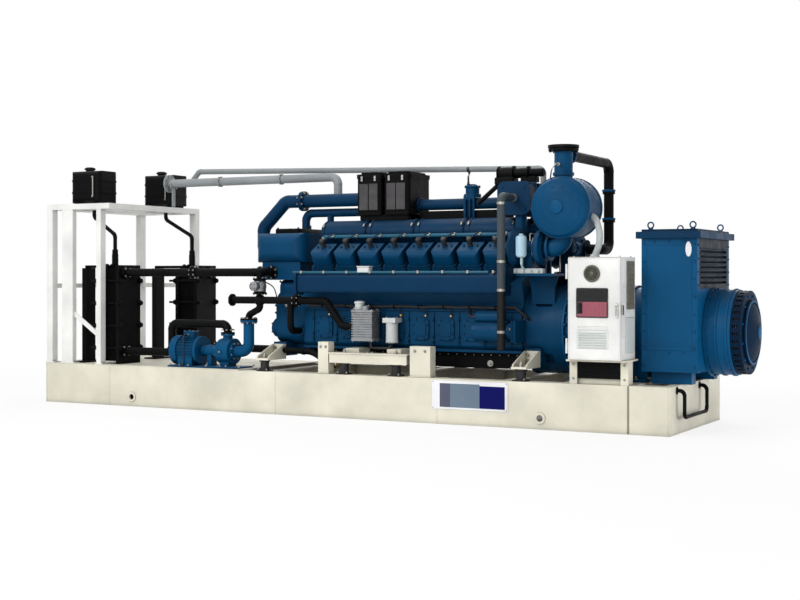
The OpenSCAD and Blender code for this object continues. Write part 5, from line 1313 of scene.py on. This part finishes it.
def alternator_details():
    """Flange bolts, foot bolts, housing screws, side panels, louvre lips and oval plate."""
    screens, screws, flanges = shapes("alternator_blue", "alternator_side_panels", "alternator_screws",
                                      "alternator_flange_bolts")
    feet = Shape("alternator_foot_bolts", "plated_steel")
    body = box("alternator_frame")
    wall = HOUSE.y1 - 6
    drum_x, vent_x = box("alternator_drum").x0 + 24, box("alternator_vent_ring").x1
    flanges.rings(((body.x0 + 26, 0, CRANK_Z), X, 410, 24, 24), ((drum_x, 0, CRANK_Z), X, 389, 24, 15),
                  ((vent_x, 0, CRANK_Z), X, 328, 12, 17))
    foot_xs = [body.x0 + 100 + i * 200 for i in range(4)]
    for side in SIDES:
        feet.hexes(foot_xs, pair(side * 330, 46), SKID_TOP + 26.5, Z, 24, thread=10)
        out, y, over = Y * side, side * wall, side * LID.y1
        for x in (HOUSE.x0 + 25, HOUSE.x1 - 25):
            screws.row((x, y, HOUSE.z0 + 160), (x, y, HOUSE.z1 - 50), 8, out, 13)
        for z in (HOUSE.z1 - 30, HOUSE.z0 + 280):
            screws.row((HOUSE.x0 + 120, y, z), (HOUSE.x1 - 120, y, z), 3, out, 13)
        screws.row((LID.x0 + 50, over, LID.z0 + 30), (LID.x1 - 50, over, LID.z0 + 30), 5, out, 11)
        y = side * (wall - 30)
        screws.row((HOUSE.x1, y, HOUSE.z1 - 60), (HOUSE.x1, y, CRANK_Z + 420), 4, X, 13)
        screens.bar((HOUSE.x0 + 50, HOUSE.x1 - 50), (side * (wall - 1), side * (wall + 4)),
                    (HOUSE.z0 + 300, HOUSE.z1 - 60))
    lips = Shape("alternator_louvre_lips", "navy_paint")
    for i in range(7):
        z = HOUSE.z1 - 90 - i * 46
        lips.bar((HOUSE.x1 - 2, HOUSE.x1 + 10), pair(0, wall - 85), (z, z + 6))
    oval = Shape("alternator_oval_plate", "sign_white")
    outline = [(27 * cos(k * pi / 14), 66 * sin(k * pi / 14)) for k in range(28)]
    oval.prism(outline, 0, 4, aim((HOUSE.x1 - 77, -wall - 3, CRANK_Z + 735), -Y), 1.5)


def lifting_eyes():
    """Four eyes on the alternator's LID."""
    eyes = Shape("alternator_lifting_eyes", "alternator_blue")
    y = HOUSE.y1 - 81
    section = [(26 + 7 * cos(k * pi / 4), 7 * sin(k * pi / 4)) for k in range(8)]
    for foot in spots((LID.x0 + 100, LID.x1 - 100), (-y, y), LID.z1):
        eyes.lathe([(22, -2), (22, 10), (12, 14)], at(*foot), 18)
        eyes.lathe(section, aim(Vector(foot) + Z * 38, Y), 24, loop=True)


def vent_mesh():
    """Wire mesh rings behind the slots at the end of the drum, and the dish of the bearing cap."""
    trim = Shape("bearing_cap_trim", "alternator_blue")
    wires = Shape("vent_wires", "cable_black")
    cap = box("alternator_cap")
    for x in (30, 45, 60):
        wires.ring(366, 362, 3, aim((box("alternator_vent_ring").x0 + x, 0, CRANK_Z), X), 72)
    trim.ring(cap.y1 - 4, cap.y1 - 22, 10, aim((cap.x0 + 20, 0, CRANK_Z), X), 64)
    trim.lathe([(60, 0), (60, 6), (50, 10), (0, 10)], aim((cap.x1 - 4, 0, CRANK_Z), X), 32)


# ---------------------------------------------------------------- control panel


def door_display():
    """Display over a keypad, on the panel's door."""
    x, z, y = DOOR_MID, DOOR_Z, SHELL.y0
    keys, plate = shapes("display_red", "keypad_keys", "keypad_plate", body="door")
    glass, bezel = shapes("display_black", "display_screen", "display_bezel", body="door")
    top, split, bottom = z + 626, z + 506, z + 369
    bezel.prism(round_outline(290, top - bottom, 12), -1, 10, aim((x, y, (top + bottom) / 2), -Y), 3)
    glass.bar(pair(x, 131), (y - 9, y - 12.5), (split + 4, top - 12), 1)
    plate.bar(pair(x, 135), (y - 9, y - 11.8), (bottom + 10, split + 1), 1)
    for i, j in product(range(5), range(3)):
        keys.bar(pair(x - 60 + i * 40, 12), (y - 11.5, y - 14.5), pair(bottom + 35 + j * 36, 9), 1.5)
    knobs = Shape("keypad_knobs", "display_black", "door")
    knobs.bar((x - 133, x - 85), (y - 11, y - 14.5), (bottom + 35, split - 2))
    for knob_z in (bottom + 58, bottom + 104):
        knobs.lathe([(17, 0), (17, 6), (13, 18), (0, 18)], aim((x - 109, y - 14, knob_z), -Y))


def door_fittings():
    """Round vent, louvred cover, beads and latch on the panel's DOOR."""
    y = SHELL.y0
    slats, vent = shapes("vent_dark", "door_vent_slats", "door_vent_rim", body="door")
    centre = aim((DOOR_MID - 2, y, DOOR_Z + 752), -Y)
    vent.ring(74, 56, 14, centre, 44, 0.35)
    vent.lathe([(20, 0), (20, 10), (14, 13), (0, 13)], centre, 24)
    for r in (26, 36, 46):
        slats.ring(r + 3.5, r - 1.5, 9, centre, 40)
    for k in range(4):
        slats.slab((-58, -3, 1), (58, 3, 7), 1, centre @ spin((k + 0.5) * pi / 4))
    slats.lathe([(60, -1), (60, 2)], centre, 44)

    cover = Shape("door_louvre_cover", "louvre_white", "door")
    cover.bar(pair(DOOR_MID, 145), (y + 1, y - 4), (DOOR_Z + 98, DOOR_Z + 262))
    for i in range(7):
        blade = at(DOOR_MID, y - 4, DOOR_Z + 114 + i * 21.5) @ spin(radians(35), "X")
        cover.slab((-129, -10, -1.5), (129, 4, 1.5), 0.7, blade)

    beads = Shape("door_edge_beads", "white_paint", "door")
    x0, x1 = DOOR_X0, SHELL.x1
    for z in (DOOR.z0 + 9, DOOR.z1 - 9):
        beads.bar((x0 + 12, x1 - 12), pair(y, 1.5), pair(z, 2.5), 1)
    for x in (x0 + 14, x1 - 10):
        beads.bar(pair(x, 2.5), pair(y, 1.5), (DOOR.z0 + 12, DOOR.z1 - 12), 1)
    latch = Shape("door_latch", "plated_steel", "door")
    x, z = DOOR.x1 - 29, DOOR_Z + 375
    latch.lathe([(10, 0), (10, 4), (6, 6), (0, 6)], aim((x, y - 14, z + 95), -Y), 18)
    latch.bar(pair(x, 7), (y - 13.5, y - 20), (z + 12, z + 78), 3)


def door_inside():
    """Back of the display and wiring, on the inside of the panel's door."""
    wires = Shape("door_wires", "cable_black", "door")
    back = Shape("door_display_back", "conduit_grey", "door")
    x, y, z = DOOR_MID, SHELL.y0 + 8, DOOR_Z
    back.bar(pair(x, 130), (y - 1, y + 55), (z + 379, z + 616), 4)
    back.bar(pair(x, 150), (y - 1, y + 12), (z + 108, z + 238), 3)
    back.bar((DOOR_X0 + 22, DOOR_X0 + 52), (y - 1, y + 30), (z + 118, z + 606), 3)
    for k in range(5):
        start = vec(x - 115, y + 20 + 5 * k, z + 419 + 12 * k)
        wires.tube(spline([start, start + vec(-25, 4, -30), start + vec(-45, 0, -60),
                           (DOOR_X0 + 45, y + 10 + 4 * k, z + 349 + 12 * k)]), 3.5, 7)


def panel_interior():
    """Rails with breakers and terminals, cable ducts and wiring on the panel's mounting plate."""
    x0, x1 = DOOR_X0 + 68, SHELL.x1 - 68
    y = SHELL.y1 - 42
    z0, z1 = SHELL.z0 + 95, SHELL.z1 - 95
    wires = Shape("panel_wires", "cable_black")
    dark = Shape("panel_breakers", "display_black")
    parts = Shape("panel_modules", "pale_paint")
    ducts = Shape("panel_ducts", "conduit_grey")
    rails = Shape("panel_rails", "plated_steel")
    rows = 4
    step = (z1 - z0) / rows
    for j in range(rows + 1):
        z = z0 + j * step
        ducts.bar((x0, x1), (y, y - 50), pair(z, 18))
        for k in range(26):
            ducts.bar(pair(x0 + 10 + k * (x1 - x0 - 20) / 25, 3.5), (y - 10, y - 47), pair(z, 19.5), 0.8)
    rng = random.Random(11)
    for j in range(rows):
        z = z0 + (j + 0.5) * step
        rails.bar((x0 + 5, x1 - 5), (y, y - 8), pair(z, 17.5), 1)
        x = x0 + 12
        while x < x1 - 30:
            wide = rng.choice((18, 18, 36, 6, 6, 45))
            tall = rng.choice((42, 45, 50))
            if x + wide > x1 - 8:
                break
            target = dark if wide > 30 else parts
            target.bar((x, x + wide - 1), (y - 7, y - 60), pair(z, tall), 1.5)
            target.bar((x + 1, x + wide - 2), (y - 58, y - 72), pair(z, 22), 1.2)
            if wide > 10:
                dark.bar((x + wide * 0.3, x + wide * 0.62), (y - 70, y - 80), (z - 8, z + 10), 1)
            for end in SIDES:
                start = vec(x + wide / 2, y - 45, z + end * (tall - 4))
                wires.tube(spline([start, start + vec(0, -8, end * 20),
                                   (start.x, y - 30, z + end * (step / 2 - 16))], 4), 1.8, 6)
            x += wide + rng.choice((0, 0, 6))


def stand_details(fixings):
    """Black plate that paints the shade under the panel, and bolts of the panel's STAND."""
    # painted shade: a black plate with slats between the stand's legs, where the panel's shade falls
    shade_plate = Shape("stand_shade_plate", "black_paint")
    y = 36 - HALF_W
    shade_plate.bar((STAND.x0 + 70, STAND.x1 - 70), (y + 1, y - 26), (SKID_TOP + 52, STAND.z1 - 18))
    for i in range(4):
        z = SKID_TOP + 78 + i * 28
        shade_plate.bar((STAND.x0 + 120, STAND.x1 - 120), (y - 25, y - 29), (z, z + 6), 1)
    xs, zs = (STAND.x0 + 35, STAND.x1 - 35), (SKID_TOP + 50, STAND.z1 - 45)
    fixings.hexes(xs, 6 - HALF_W, zs, -Y, 15)


def panel_outside():
    """Roof rim, side covers in pale grey and olive grey as painted shade of the panel's side face, fixings,
    and glands with their cables on the panel's SHELL.
    """
    cables, glands = shapes("cable_black", "panel_cables", "panel_glands")
    fixings = Shape("panel_fixings", "plated_steel")
    rim = Shape("panel_rims", "white_paint")
    x0, x1, y0, y1, z0, z1 = DOOR_X0, SHELL.x1, SHELL.y0, SHELL.y1, SHELL.z0, SHELL.z1
    rim.bar((x0 - 4, x1 + 4), (y0 + 30, y1), (z1 - 1, z1 + 6))
    for z in (z0 + 200, z1 - 250):
        rim.bar((x1 - 1, x1 + 4), (y0 + 80, y1 - 50), (z, z + 4), 1)
    fixings.bar((x1 - 1, x1 + 12), (y0 + 32, y0 + 75), (z0 + 395, z0 + 480), 4)
    fixings.hexes((x0 + 30, x1 - 30), (y0 + 80, y1 - 30), z1 + 6, Z, 13)
    stand_details(fixings)
    for x in [x0 + 100 + i * 90 for i in range(4)]:
        glands.lathe([(20, -1), (20, 12), (16, 16), (16, 30), (11, 34)], aim((x, y1 - 100, z0), -Z), 14)
        cables.tube(spline([(x, y1 - 100, z0 - 20), (x, y1 - 100, z0 - 80), (x - 20, y1 - 60, z0 - 150),
                            (x - 40, y1 + 20, SKID_TOP - 30)]), 9.5, 9)
    # painted shade: the panel's side face is covered in pale grey below and olive grey with slats above
    cover = Shape("panel_side_shade_cover", "pale_paint")
    cover.bar((x1 - 1, x1 + 8), (y0 + 150, y1 - 30), (z0 + 60, z0 + 370), 3)
    louvres = Shape("panel_side_shade_filter", "side_shade_olive")
    louvres.bar((x1 - 1, x1 + 8), (y0 + 170, y1 - 30), (z0 + 440, z1 - 30), 3)
    for i in range(9):
        z = z0 + 480 + i * 42
        louvres.bar((x1 + 7, x1 + 13), (y0 + 190, y1 - 50), (z, z + 12))


# ---------------------------------------------------------------- build

DETAILS = (
    head_and_cover_fasteners, ignition, crankcase_fasteners, oil_drain, front_end, plenum_details,
    manifold_clamps, turbo_details, cooler_details, gas_train, filter_details, exhaust_details,
    panel_conduit, oil_details, starter_cables, valley_details, looms, pipe_flange_bolts, control_valve,
    exchanger_details, pump_details, cooling_frame_details, overhead_details, mount_details,
    skid_details, sign_plate, alternator_details, lifting_eyes, vent_mesh, door_display, door_fittings,
    door_inside, panel_interior, panel_outside,
)

add_camera()
add_stage()
make_materials()
finish_cad_nodes()
for draw in DETAILS:
    draw()
for shape in Shape.made:
    shape.build()
